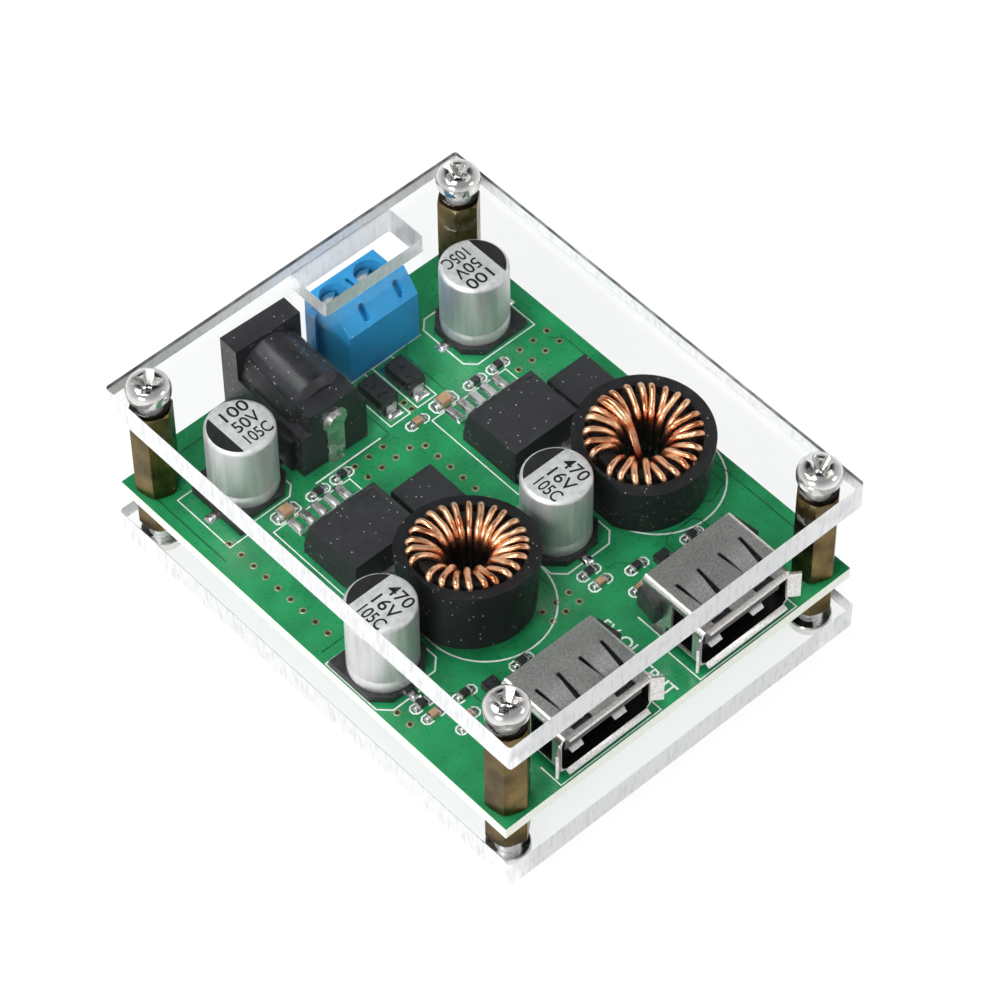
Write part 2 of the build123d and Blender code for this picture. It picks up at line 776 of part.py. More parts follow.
def terminal_clamp():
    width = wire_entry_width - 2 * clamp_play
    height = clamp_top() - clamp_bottom()
    clamp = block(width, clamp_depth, height)
    window = block(width - 2 * clamp_wall, clamp_depth, height - clamp_roof - clamp_wall)
    clamp -= Pos(0, 0, clamp_wall) * window
    clamp -= Pos(0, 0, height - clamp_roof) * post(terminal_screw_shank_radius + slip, clamp_roof)
    return Pos(0, 0, clamp_bottom()) * clamp


def terminal_pin():
    strip = block(wire_entry_width - 2 * clamp_play, terminal_strip_length, terminal_strip_thickness)
    strip = Pos(0, 0, wire_entry_floor) * strip
    return strip + Pos(0, 0, -pin_length) * post(terminal_pin_radius, pin_length + wire_entry_floor)


def save_terminal():
    spot = on_board(terminal_x, terminal_y)
    save("terminal_housing", spot * terminal_housing())
    rows = (("terminal_screws", terminal_screw()), ("terminal_clamps", terminal_clamp()),
            ("terminal_pins", terminal_pin()))
    for name, piece in rows:
        save(name, *[spot * Pos(x, -terminal_screw_setback) * piece for x in terminal_places()])


def usb_spring_slits():
    """Cutters for the two spring tongues in the top of the shell."""
    cutters = []
    for middle in (-usb_spring_spacing / 2, usb_spring_spacing / 2):
        for side in (-1, 1):
            root = (middle + side * usb_spring_root_width / 2, usb_spring_root)
            tip = (middle + side * usb_spring_tip_width / 2, usb_spring_tip)
            length = hypot(root[0] - tip[0], root[1] - tip[1]) + usb_spring_slit
            heading = degrees(atan2(root[1] - tip[1], root[0] - tip[0]))
            slit = block(length, usb_spring_slit, 2 * usb_sheet)
            centre = Pos((root[0] + tip[0]) / 2, (root[1] + tip[1]) / 2, usb_top - 1.5 * usb_sheet)
            cutters.append(centre * Rot(0, 0, heading) * slit)
        gap = block(usb_spring_tip_width + usb_spring_slit, usb_spring_gap, 2 * usb_sheet)
        cutters.append(Pos(middle, usb_spring_tip - usb_spring_gap / 2, usb_top - 1.5 * usb_sheet) * gap)
    return cutters


def usb_lip(width, length, angle):
    """A strip along X that flares forward and up from a hinge line at the end of a wall."""
    strip = Box(width, length, usb_sheet, align=(Align.CENTER, Align.MAX, Align.MAX))
    root = Box(width, usb_sheet, usb_sheet, align=(Align.CENTER, Align.CENTER, Align.MAX))
    return Rot(-angle, 0, 0) * strip + root


def usb_lip_depth():
    """How far the top and bottom lips reach in front of the walls that carry them."""
    return usb_lip_length * cos(radians(usb_lip_angle))


def usb_side_lip_depth():
    return usb_side_lip_length * cos(radians(usb_side_lip_angle))


def usb_shell():
    middle_z = usb_top - usb_shell_height / 2
    outline = RectangleRounded(usb_width, usb_shell_height, usb_corner_radius)
    inner = RectangleRounded(usb_width - 2 * usb_sheet, usb_shell_height - 2 * usb_sheet,
                             usb_corner_radius - usb_sheet)
    tube_depth = usb_depth - usb_lip_depth()
    shell = extrude(Plane.XZ * (outline - inner), -tube_depth)
    shell = Pos(0, usb_lip_depth(), middle_z) * shell
    for cutter in usb_spring_slits():
        shell -= cutter
    side_height = usb_shell_height - 2 * usb_corner_radius - usb_sheet
    window = Box(2 * usb_sheet, usb_window_length, side_height)
    window_y = usb_window_setback + usb_window_length / 2
    side_lip_y = usb_side_lip_depth()
    relief = Box(2 * usb_sheet, side_lip_y, side_height)
    for side in (-1, 1):
        shell -= Pos(side * usb_width / 2, window_y, middle_z) * window
        shell -= Pos(side * usb_width / 2, side_lip_y / 2, middle_z) * relief
    shell -= usb_block_room()
    lip_width = usb_width - 2 * usb_corner_radius
    lip = Pos(0, usb_lip_depth()) * usb_lip(lip_width, usb_lip_length, usb_lip_angle)
    shell += Pos(0, 0, usb_top) * lip
    shell += Pos(0, 0, usb_top - usb_shell_height) * Rot(0, 180, 0) * lip
    side_lip = Pos(0, side_lip_y) * usb_lip(side_height, usb_side_lip_length, usb_side_lip_angle)
    shell += Pos(usb_width / 2, 0, middle_z) * Rot(0, 90, 0) * side_lip
    shell += Pos(-usb_width / 2, 0, middle_z) * Rot(0, -90, 0) * side_lip
    leg_height = usb_top - usb_shell_height + usb_corner_radius + usb_sheet
    leg = block(usb_sheet, usb_leg_width, leg_height + pin_length)
    for side in (-1, 1):
        shell += Pos(side * (usb_width - usb_sheet) / 2, usb_leg_y(), -pin_length) * leg
    return shell


def usb_block_room():
    """Cutters, open at the back, for the wings and the foot of the block."""
    play = usb_block_inset
    wings = Box(2 * usb_width, usb_block_depth + play, usb_wing_height + 2 * play)
    wings = Pos(0, usb_depth - (usb_block_depth + play) / 2, usb_wing_top - usb_wing_height / 2) * wings
    foot = block(usb_foot_width + 2 * play, usb_foot_length + play, 2 * usb_sheet)
    bottom = usb_top - usb_shell_height
    return wings + Pos(0, usb_depth - (usb_foot_length + play) / 2, bottom - usb_sheet / 2) * foot


def usb_leg_y():
    return usb_depth - usb_leg_setback + usb_leg_width


def usb_insulator():
    inside = usb_width - 2 * usb_sheet - 2 * usb_block_inset
    bottom = usb_top - usb_shell_height + usb_sheet + usb_block_inset
    height = usb_shell_height - 2 * usb_sheet - 2 * usb_block_inset
    outline = RectangleRounded(inside, height, usb_corner_radius - usb_sheet)
    plug = extrude(Plane.XZ * outline, -usb_block_depth)
    body = Pos(0, usb_depth - usb_block_depth, bottom + height / 2) * plug
    foot = block(usb_foot_width, usb_foot_length, bottom + height / 2)
    body += Pos(0, usb_depth - usb_foot_length / 2) * foot
    body += usb_wings()
    tongue_length = usb_depth - usb_block_depth - usb_tongue_recess
    tongue_bottom = usb_top - usb_sheet - usb_tongue_drop - usb_tongue_thickness
    tongue = block(usb_tongue_width, tongue_length, usb_tongue_thickness)
    body += Pos(0, usb_tongue_recess + tongue_length / 2, tongue_bottom) * tongue
    for contact in usb_contacts():
        body -= contact
    return body


def usb_wings():
    """One slab from wing to wing; the wings reach further out at the front."""
    front, back = usb_width / 2 + usb_wing_front_reach, usb_width / 2 + usb_wing_back_reach
    front_y = usb_depth - usb_block_depth
    slab = Polygon((-front, front_y), (front, front_y), (back, usb_depth), (-back, usb_depth), align=None)
    return Pos(0, 0, usb_wing_top - usb_wing_height) * extrude(slab, usb_wing_height)


def usb_contacts():
    """Four strips under the tongue that run back and turn down into the board."""
    top = usb_top - usb_sheet - usb_tongue_drop - usb_tongue_thickness + usb_contact_thickness
    front = usb_tongue_recess + 2 * usb_pin_setback
    back = usb_depth - usb_pin_setback
    contacts = []
    for x in usb_contact_offsets:
        strip = Pos(x, (front + back) / 2, top - usb_contact_thickness) * block(
            usb_contact_width, back - front, usb_contact_thickness)
        pin = Pos(x, back - usb_contact_thickness / 2, -pin_length) * block(
            usb_pin_width, usb_contact_thickness, top + pin_length)
        contacts.append(strip + pin)
    return contacts


def save_usb_sockets():
    shell = usb_shell()
    insulator = usb_insulator()
    contacts = usb_contacts()
    for side, x in (("left", left_usb_x), ("right", right_usb_x)):
        spot = on_board(x, usb_setback)
        save(f"{side}_usb_shell", spot * shell)
        save(f"{side}_usb_insulator", spot * insulator)
        save(f"{side}_usb_contacts", *[spot * contact for contact in contacts])


def channel_origins():
    """The two places that the chip parts behind the output sockets are measured from."""
    right = right_cup_x - cup_gaps[1] + cup_gaps[0]
    return [(left_cup_x, usb_back), (right, usb_back)]


def chip_places():
    """Places of the chip parts: x, y, size and kind."""
    places = []
    for pair_shift, (x, y) in zip(pair_shifts, channel_origins()):
        places.append((x - pair_shift, y + upper_pair_room, small_chip_size, "resistor"))
        places.append((x - pair_shift, y + lower_pair_room, small_chip_size, "capacitor"))
        places.append((x - filter_shift, y + filter_room, small_chip_size, "resistor"))
        places.append((x - sense_shift, y + sense_room, small_chip_size, "resistor"))
        places.append((x - divider_shift, y + divider_room, small_chip_size, "capacitor"))
    for i in range(2):
        x = left_regulator_x + i * regulator_pitch
        places.append((x + inner_chip_shift, chip_row_y, small_chip_size, "resistor"))
        places.append((x + outer_chip_shift, chip_row_y, small_chip_size, "resistor"))
        capacitor_y = chip_row_y + row_capacitor_setback
        places.append((x - row_capacitor_shift, capacitor_y, large_chip_size, "capacitor"))
    x = left_regulator_x + regulator_pitch - input_chip_shift
    places.append((x, chip_row_y, small_chip_size, "capacitor"))
    return places


def chip_body(size):
    return block(size[0] - 2 * chip_cap_length, size[1], size[2])


def chip_ends(size):
    x = (size[0] - chip_cap_length) / 2
    return [Pos(side * x, 0) * block(chip_cap_length, size[1], size[2]) for side in (-1, 1)]


def save_chips():
    bodies = {"resistor": [], "capacitor": []}
    ends = []
    for x, y, size, kind in chip_places():
        spot = on_board(x, y)
        bodies[kind].append(spot * chip_body(size))
        ends += [spot * end for end in chip_ends(size)]
    save("chip_resistors", *bodies["resistor"])
    save("chip_capacitors", *bodies["capacitor"])
    save("chip_end_caps", *ends)


def transistor_places():
    return [on_board(x - switch_shift, y + switch_room) for x, y in channel_origins()]


def save_transistors():
    body = Pos(0, 0, transistor_lift) * block(*transistor_size)
    reach = transistor_size[1] / 2 + transistor_leg_reach
    leg = Pos(0, reach / 2) * block(transistor_leg_width, reach, transistor_leg_thickness)
    legs = []
    for x, turn in ((0.0, 0), (-0.6, 180), (0.6, 180)):
        legs.append(Rot(0, 0, turn) * Pos(x, 0) * leg)
    for part in legs:
        body -= part
    save("transistor_bodies", *[spot * body for spot in transistor_places()])
    save("transistor_legs", *[spot * part for spot in transistor_places() for part in legs])


def board_holes():
    """Cutters for every hole in the board, each standing on its bottom face."""
    cutters = []
    screw_hole = post(thread_diameter / 2 + plate_hole_play, board_thickness)
    for x, y in corner_places():
        cutters.append(Pos(x, y, board_bottom) * screw_hole)
    down = Pos(0, 0, -board_thickness)
    pin_hole = down * post(terminal_pin_radius + board_hole_play, board_thickness)
    terminal = on_board(terminal_x, terminal_y)
    cutters += [terminal * Pos(x, -terminal_screw_setback) * pin_hole for x in terminal_places()]
    play = 2 * board_hole_play
    tab_slot = down * block(tab_width / 2 + play, tab_thickness + play, board_thickness)
    contact_slot = down * block(contact_width + play, contact_thickness + play, board_thickness)
    cutters.append(jack_place() * Pos(0, -jack_depth - tab_thickness / 2) * tab_slot)
    cutters.append(jack_place() * Pos(0, contact_leg_setback - jack_depth) * contact_slot)
    leg_slot = down * block(usb_sheet + play, usb_leg_width + play, board_thickness)
    pin_slot = down * block(usb_pin_width + play, usb_contact_thickness + play, board_thickness)
    pin_y = usb_depth - usb_pin_setback - usb_contact_thickness / 2
    for x in (left_usb_x, right_usb_x):
        socket = on_board(x, usb_setback)
        for side in (-1, 1):
            cutters.append(socket * Pos(side * (usb_width - usb_sheet) / 2, usb_leg_y()) * leg_slot)
        cutters += [socket * Pos(offset, pin_y) * pin_slot for offset in usb_contact_offsets]
    wire_hole = down * post(wire_diameter / 2 + coil_lead_hole_play, board_thickness)
    for x, lean in ((left_cup_x, cup_leans[0]), (right_cup_x, cup_leans[1])):
        for lead_x, lead_y in coil_lead_points():
            depth = board_thickness / 2 + cup_base_radius * abs(sin(radians(lean)))
            end = (inductor_place(x, lean) * Pos(lead_x, lead_y, -depth)).position
            cutters.append(Pos(end.X, end.Y, board_top) * wire_hole)
    return cutters


def circuit_board():
    board = Pos(0, 0, board_bottom) * block(board_width, board_length, board_thickness)
    for cutter in board_holes():
        board -= cutter
    return board


os.makedirs("parts", exist_ok=True)
save("base_plate", Pos(0, 0, base_plate_bottom) * plate(base_plate_thickness))
save("circuit_board", circuit_board())
save("top_plate", top_plate())
save_fasteners()
save_jack()
save_terminal()
save_capacitors()
save_inductors()
save_regulators()
save_diodes()
save_usb_sockets()
save_chips()
save_transistors()
print("board", round(board_width, 3), "x", round(board_length, 3))
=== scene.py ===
from math import atan2, cos, pi, radians, sin
import random
import bmesh
import bpy
from mathutils import Matrix, Vector


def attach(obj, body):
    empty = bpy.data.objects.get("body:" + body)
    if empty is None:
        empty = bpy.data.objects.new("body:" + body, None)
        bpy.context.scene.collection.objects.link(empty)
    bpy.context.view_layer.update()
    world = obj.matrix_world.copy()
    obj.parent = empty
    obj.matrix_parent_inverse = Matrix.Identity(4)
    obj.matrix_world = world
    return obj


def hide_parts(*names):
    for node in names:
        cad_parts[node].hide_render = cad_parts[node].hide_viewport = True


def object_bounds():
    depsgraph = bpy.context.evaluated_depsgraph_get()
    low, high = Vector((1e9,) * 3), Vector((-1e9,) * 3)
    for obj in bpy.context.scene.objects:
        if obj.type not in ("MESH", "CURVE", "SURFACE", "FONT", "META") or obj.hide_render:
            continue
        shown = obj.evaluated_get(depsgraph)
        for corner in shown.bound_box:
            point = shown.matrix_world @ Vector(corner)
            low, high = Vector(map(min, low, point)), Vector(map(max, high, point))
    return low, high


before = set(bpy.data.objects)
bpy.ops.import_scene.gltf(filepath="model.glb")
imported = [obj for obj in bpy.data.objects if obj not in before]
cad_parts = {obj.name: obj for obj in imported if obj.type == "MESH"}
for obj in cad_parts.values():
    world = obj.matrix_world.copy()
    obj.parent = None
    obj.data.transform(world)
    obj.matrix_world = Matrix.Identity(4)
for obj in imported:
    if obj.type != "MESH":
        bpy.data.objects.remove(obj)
cad_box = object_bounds()

# 1. The place where the module is looked at: a white sheet in a pale room with three lamps.
# The room is dark on the one side that the clear top plate would mirror. The camera looks
# down over the corner between the left side and the output sockets.
mm = 0.001
scene = bpy.context.scene
scene.view_settings.view_transform = "Standard"


def nodes_of(material):
    """The node tree of a material, emptied but for its output."""
    material.use_nodes = True
    tree = material.node_tree
    tree.nodes.clear()
    output = tree.nodes.new("ShaderNodeOutputMaterial")
    return tree, output


def put(socket, value):
    """Links a socket to another one, or sets it to a value."""
    if isinstance(value, bpy.types.NodeSocket):
        socket.id_data.links.new(value, socket)
    else:
        socket.default_value = value


def feed(node, **named):
    """Puts values or sockets in a node's inputs by name, with underscores for the spaces."""
    for name, value in named.items():
        put(node.inputs[name.replace("_", " ")], value)


def node_of(tree, kind, *values, **named):
    """A new node, with values or sockets put in its inputs in order or by name."""
    node = tree.nodes.new(kind)
    for socket, value in zip(node.inputs, values):
        put(socket, value)
    feed(node, **named)
    return node


def math_of(tree, kind, operation, *values):
    """A node that works out one operation on numbers or on vectors."""
    node = node_of(tree, kind, *values)
    node.operation = operation
    return node


def range_of(tree, source, low, high, start=0.3, end=0.7):
    """A value from low to high, driven by another value."""
    return node_of(tree, "ShaderNodeMapRange", Value=source, From_Min=start, From_Max=end,
                   To_Min=low, To_Max=high).outputs[0]


def ramp_of(tree, source, low, high, start=0.35, end=0.65):
    """A colour ramp between two colours, driven by a value."""
    ramp = node_of(tree, "ShaderNodeValToRGB", source)
    for stop, place, colour in zip(ramp.color_ramp.elements, (start, end), (low, high)):
        stop.position = place
        stop.color = (*colour, 1)
    return ramp.outputs[0]


def sheet_material():
    """White paper: it takes the shadows, and looks white to the camera, in metal and through glass."""
    material = bpy.data.materials.new("white sheet")
    tree, output = nodes_of(material)
    paper = node_of(tree, "ShaderNodeBsdfDiffuse", Color=(0.8, 0.8, 0.8, 1))
    veil = node_of(tree, "ShaderNodeBsdfDiffuse", Color=(0.2, 0.2, 0.2, 1))
    glow = node_of(tree, "ShaderNodeEmission", Strength=0.84)
    bright = node_of(tree, "ShaderNodeAddShader", veil.outputs[0], glow.outputs[0])
    path = tree.nodes.new("ShaderNodeLightPath").outputs
    seen = math_of(tree, "ShaderNodeMath", "MAXIMUM", path["Is Camera Ray"], path["Is Glossy Ray"])
    seen = math_of(tree, "ShaderNodeMath", "MAXIMUM", seen.outputs[0], path["Is Transmission Ray"])
    mix = node_of(tree, "ShaderNodeMixShader", seen.outputs[0], paper.outputs[0], bright.outputs[0])
    feed(output, Surface=mix.outputs[0])
    return material


def finish_mesh(name, bm, *materials):
    """Turns a bmesh into an object with these materials."""
    mesh = bpy.data.meshes.new(name)
    bm.to_mesh(mesh)
    bm.free()
    for material in materials:
        mesh.materials.append(material)
    piece = bpy.data.objects.new(name, mesh)
    scene.collection.objects.link(piece)
    return piece


sheet = bmesh.new()
bmesh.ops.create_grid(sheet, x_segments=1, y_segments=1, size=1.5)
sheet = finish_mesh("sheet", sheet, sheet_material())

world = bpy.data.worlds.new("soft room")
scene.world = world
world.use_nodes = True
room = world.node_tree
room.nodes.clear()
way = room.nodes.new("ShaderNodeTexCoord").outputs["Generated"]
height = node_of(room, "ShaderNodeSeparateXYZ", way).outputs["Z"]
pale_floor, mid_wall, grey_ceiling = (0.92, 0.92, 0.92), (0.74, 0.74, 0.75), (0.40, 0.41, 0.43)
shade = ramp_of(room, height, pale_floor, grey_ceiling, 0.0, 0.8)
shade.node.color_ramp.elements.new(0.3).color = (*mid_wall, 1)
dark_way = (0.413, 0.462, 0.785)
towards_dark = math_of(room, "ShaderNodeVectorMath", "DOT_PRODUCT", way, dark_way).outputs["Value"]
strength = range_of(room, towards_dark, 1.0, 0.05, 0.83, 0.965)
room_light = node_of(room, "ShaderNodeBackground", Color=shade, Strength=strength)
node_of(room, "ShaderNodeOutputWorld", Surface=room_light.outputs[0])
lamp_aim = Vector((0, 0, 12)) * mm


def lamp(name, place, size, power):
    """A square lamp that points at the module."""
    light = bpy.data.lights.new(name, "AREA")
    light.size = size
    light.energy = power
    holder = bpy.data.objects.new(name, light)
    holder.location = place
    holder.rotation_euler = (lamp_aim - Vector(place)).to_track_quat("-Z", "Y").to_euler()
    scene.collection.objects.link(holder)


lamp("wide lamp", (-0.14, 0.16, 0.60), 0.30, 1.7)
lamp("left lamp", (-0.48, -0.12, 0.30), 0.16, 1.7)
lamp("front lamp", (0.30, -0.38, 0.34), 0.16, 0.25)

camera_place = Vector((-203.69, -231.02, 406.15)) * mm
camera_aim = Vector((1.05, -1.69, 16.4)) * mm
camera_roll = radians(-0.712)
forward = (camera_aim - camera_place).normalized()
level_right = forward.cross(Vector((0, 0, 1))).normalized()
level_down = forward.cross(level_right)
right = cos(camera_roll) * level_right - sin(camera_roll) * level_down
down = sin(camera_roll) * level_right + cos(camera_roll) * level_down
turn = Matrix((right, -down, -forward)).transposed().to_4x4()
camera = bpy.data.objects.new("camera", bpy.data.cameras.new("camera"))
camera.data.lens = 164.62
camera.data.sensor_width = 36.0
camera.data.clip_start = 0.01
camera.matrix_world = Matrix.Translation(camera_place) @ turn
scene.collection.objects.link(camera)
scene.camera = camera

# 2. Base plate, laser-cut from clear acrylic. Its faces are polished and its cut edges
# are frosted and finely streaked. Four screws from below hold it to the lower standoffs.
acrylic_index = 1.49
sharp_angle = radians(31)
same_place = 1e-6


def finish(name, colour, roughness, metallic=0.0):
    """A new material with one Principled shader. Returns the material, its tree and the shader."""
    material = bpy.data.materials.new(name)
    tree, output = nodes_of(material)
    shader = node_of(tree, "ShaderNodeBsdfPrincipled", Base_Color=(*colour, 1), Roughness=roughness,
                     Metallic=metallic)
    feed(output, Surface=shader.outputs[0])
    return material, tree, shader


def noise_of(tree, scale, detail=3.0, stretch=(1, 1, 1)):
    """Noise in the object's own space. The scale is in features a metre."""
    place = tree.nodes.new("ShaderNodeTexCoord")
    mapping = node_of(tree, "ShaderNodeMapping", Vector=place.outputs["Object"], Scale=stretch)
    noise = node_of(tree, "ShaderNodeTexNoise", Vector=mapping.outputs[0], Scale=scale, Detail=detail)
    return noise.outputs["Fac"]


def bump_of(tree, shader, source, strength, depth):
    """Dents the surface by a value. The depth is in metres."""
    bump = node_of(tree, "ShaderNodeBump", Strength=strength, Distance=depth, Height=source)
    feed(shader, Normal=bump.outputs[0])


def let_lamps_through(tree, shader, tint):
    """Light from the lamps passes through the clear sheet to what lies under it."""
    output = shader.outputs[0].links[0].to_node
    clear = node_of(tree, "ShaderNodeBsdfTransparent", Color=(*tint, 1))
    shadow = tree.nodes.new("ShaderNodeLightPath").outputs["Is Shadow Ray"]
    mix = node_of(tree, "ShaderNodeMixShader", shadow, shader.outputs[0], clear.outputs[0])
    feed(output, Surface=mix.outputs[0])


def clear_acrylic():
    """The polished faces, with a little haze here and there."""
    material, tree, shader = finish("clear acrylic", (0.985, 0.995, 0.993), 0.0)
    haze = range_of(tree, noise_of(tree, 900, 4), 0.0, 0.03, 0.55, 0.75)
    feed(shader, Transmission_Weight=1.0, IOR=acrylic_index, Roughness=haze)
    let_lamps_through(tree, shader, (0.93, 0.94, 0.94))
    return material


def cut_acrylic(name, clearness):
    """The streaked frost that a cut leaves on the edge of the sheet."""
    material, tree, shader = finish(name, (0.97, 0.97, 0.97), 0.4)
    streaks = noise_of(tree, 1700, 3, (1, 1, 0.25))
    frost = ramp_of(tree, streaks, (0.82, 0.83, 0.85), (1.0, 1.0, 1.0), 0.34, 0.52)
    feed(shader, Transmission_Weight=clearness, IOR=acrylic_index, Base_Color=frost,
         Roughness=range_of(tree, streaks, 0.5, 0.3))
    bump_of(tree, shader, streaks, 0.2, 0.00004)
    let_lamps_through(tree, shader, (0.8, 0.82, 0.84))
    return material


def painted_shade_line():
    """A dark line painted along the top of a cut edge: painted shade, for the dark look of the far edges of
    the clear plate.
    """
    material, tree, shader = finish("painted shade along the far cuts", (0.2, 0.2, 0.2), 0.5)
    painted_shade = ramp_of(tree, noise_of(tree, 500, 4), (0.06, 0.06, 0.065), (0.34, 0.34, 0.35), 0.35, 0.7)
    feed(shader, Base_Color=painted_shade, Roughness=range_of(tree, noise_of(tree, 2500, 2), 0.4, 0.6))
    let_lamps_through(tree, shader, (0.7, 0.7, 0.7))
    return material


def merged(node):
    """A bmesh of a CAD node with its loose triangles joined and its flat faces whole."""
    bm = bmesh.new()
    bm.from_mesh(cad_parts[node].data)
    bmesh.ops.remove_doubles(bm, verts=bm.verts, dist=same_place)
    bmesh.ops.dissolve_limit(bm, angle_limit=radians(0.5), verts=bm.verts, edges=bm.edges)
    return bm


def round_edges(piece, width, segments=2):
    """Small roundings along the sharp edges, and smooth shading between them."""
    if width:
        bevel = piece.modifiers.new("rounding", "BEVEL")
        bevel.width = width
        bevel.segments = segments
        bevel.limit_method = "ANGLE"
        bevel.angle_limit = sharp_angle
        bevel.harden_normals = True
    mesh = piece.data
    mesh.polygons.foreach_set("use_smooth", [True] * len(mesh.polygons))
    mesh.set_sharp_from_angle(angle=sharp_angle)


def on_the_module(piece, material_slot, *nodes):
    """The piece hangs under the module's root and stands for these CAD nodes, which are hidden. The material
    slot is not used.
    """
    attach(piece, "root")
    if nodes:
        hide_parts(*nodes)


def dressed(name, node, material, material_slot, rounding, segments=2):
    """A CAD node's own form with rounded edges and a finish."""
    piece = finish_mesh(name, merged(node), material)
    round_edges(piece, rounding, segments)
    on_the_module(piece, material_slot, node)


def sliced(bm, place, normal):
    """Cuts all faces of a bmesh along a plane."""
    bmesh.ops.bisect_plane(bm, geom=bm.verts[:] + bm.edges[:] + bm.faces[:], dist=0.1 * same_place,
                           plane_co=place, plane_no=normal)


polished = clear_acrylic()
frosted = cut_acrylic("cut acrylic edge", 0.3)
clearer_cut = cut_acrylic("cut acrylic slot", 0.85)
painted_edge_shade = painted_shade_line()
plate_right, plate_back = (half / mm for half in cad_box[1][:2])


def acrylic_sheet(name, node, shade_from=None):
    """A clear plate with streaked edges. Above a height, its right and back edges take a painted dark line of
    shade.
    """
    bm = merged(node)
    if shade_from:
        sliced(bm, (0, 0, shade_from * mm), (0, 0, 1))
    for face in bm.faces:
        middle = face.calc_center_median() / mm
        if abs(face.normal.z) < 0.5:
            outer = abs(middle.x) > plate_right - 0.5 or abs(middle.y) > plate_back - 0.5
            far = middle.x > plate_right - 0.125 or middle.y > plate_back - 0.2
            # Painted shade: only the far right and back edges, above the height, get the dark line.
            painted_shade_here = shade_from and middle.z > shade_from and far
            face.material_index = 3 if painted_shade_here else 1 if outer else 2
    piece = finish_mesh(name, bm, polished, frosted, clearer_cut, painted_edge_shade)
    round_edges(piece, 0.07 * mm, 1)
    on_the_module(piece, "clear_acrylic", node)


acrylic_sheet("clear_base_plate", "base_plate")

# 3. Lower standoffs and screws: short hexagonal posts turned from brass under a thin dull
# flash, and pan-head steel screws with a bright nickel plating that hold the base plate.


def turned_brass():
    """Dull brass with darker stains and fine marks of the tool."""
    material, tree, shader = finish("turned brass", (0.2, 0.14, 0.06), 0.3, 1.0)
    stains = ramp_of(tree, noise_of(tree, 300, 5), (0.072, 0.047, 0.014), (0.205, 0.142, 0.044), 0.34, 0.7)
    marks = noise_of(tree, 2600, 3, (1, 1, 0.2))
    feed(shader, Base_Color=stains, Roughness=range_of(tree, marks, 0.24, 0.4))
    bump_of(tree, shader, marks, 0.2, 0.00003)
    return material


def bright_nickel(name, colour, low, high, scale):
    """Thin bright plating, a little uneven in its gloss."""
    material, tree, shader = finish(name, colour, low, 1.0)
    blotches = noise_of(tree, scale, 5)
    dull = tuple(0.8 * c for c in colour)
    feed(shader, Base_Color=ramp_of(tree, blotches, dull, colour, 0.3, 0.6),
         Roughness=range_of(tree, blotches, low, high))
    bump_of(tree, shader, noise_of(tree, 4 * scale, 2), 0.1, 0.00002)
    return material


def turned(profile, steps):
    """A bmesh of a profile of radius and height, in millimetres, turned round the Z axis."""
    bm = bmesh.new()
    rows = []
    for radius, height in profile:
        if radius == 0:
            rows.append([bm.verts.new((0, 0, height * mm))] * steps)
            continue
        ring = [2 * pi * i / steps for i in range(steps)]
        rows.append([bm.verts.new((radius * cos(a) * mm, radius * sin(a) * mm, height * mm)) for a in ring])
    for low, high in zip(rows, rows[1:]):
        for i in range(steps):
            corners = [low[i - 1], low[i], high[i], high[i - 1]]
            corners = [c for n, c in enumerate(corners) if c not in corners[:n]]
            if len(corners) > 2:
                bm.faces.new(corners)
    bmesh.ops.recalc_face_normals(bm, faces=bm.faces)
    return bm


def arm_of_recess(turn):
    """A cutter for half of a cross recess: a wedge that narrows downwards."""
    bm = bmesh.new()
    bmesh.ops.create_cube(bm, size=1.0)
    for v in bm.verts:
        upper = v.co.z > 0
        length, width, height = (4.5, 1.3, cutter_top) if upper else (1.2, 0.5, 0.65)
        v.co = Vector((v.co.x * length, v.co.y * width, height)) * mm
    bmesh.ops.rotate(bm, verts=bm.verts, matrix=Matrix.Rotation(turn, 3, "Z"))
    return finish_mesh("recess_cutter", bm)


def shape_now(piece):
    """The piece's mesh with its modifiers worked out."""
    depsgraph = bpy.context.evaluated_depsgraph_get()
    return bpy.data.meshes.new_from_object(piece.evaluated_get(depsgraph))


def screw_master(grip):
    """A pan-head screw with a cross recess, its seat on z = 0 and its thread pointing down."""
    pitch = 0.45
    thread = []
    for i in range(int(grip / pitch)):
        z = -grip + i * pitch
        thread += [(1.0, z), (1.2, z + 0.5 * pitch)]
    head = [(1.2, 0), (2.4, 0), (2.54, 0.14), (2.55, 0.8), (2.47, 1.2), (2.24, 1.55), (1.85, 1.82),
            (1.3, 1.96), (0, screw_head)]
    screw = finish_mesh("screw", turned([(0, -grip)] + thread + head, 48))
    cutters = [arm_of_recess(0), arm_of_recess(pi / 2)]
    middle = turned([(0, 0.5), (0.3, 0.6), (1.25, cutter_top), (0, cutter_top)], 12)
    cutters.append(finish_mesh("recess_cutter", middle))
    for cutter in cutters:
        cut = screw.modifiers.new("recess", "BOOLEAN")
        cut.object = cutter
        cut.solver = "EXACT"
    mesh = shape_now(screw)
    screw.modifiers.clear()
    screw.data = mesh
    for cutter in cutters:
        bpy.data.objects.remove(cutter)
    round_edges(screw, 0)
    return screw


def new_tree(name, result, **kinds):
    """An empty tree of Geometry Nodes. Returns it with what is given to it, by name."""
    tree = bpy.data.node_groups.new(name, "GeometryNodeTree")
    for label, kind in kinds.items():
        tree.interface.new_socket(label, in_out="INPUT", socket_type="NodeSocket" + kind)
    tree.interface.new_socket(result, in_out="OUTPUT", socket_type="NodeSocketGeometry")
    return tree, tree.nodes.new("NodeGroupInput").outputs


def painted_end(tree, pieces, material):
    """Ends a tree: its pieces are made real and take a material."""
    real = node_of(tree, "GeometryNodeRealizeInstances", pieces.outputs[0])
    painted = node_of(tree, "GeometryNodeSetMaterial", Geometry=real.outputs[0], Material=material)
    node_of(tree, "NodeGroupOutput", painted.outputs[0])


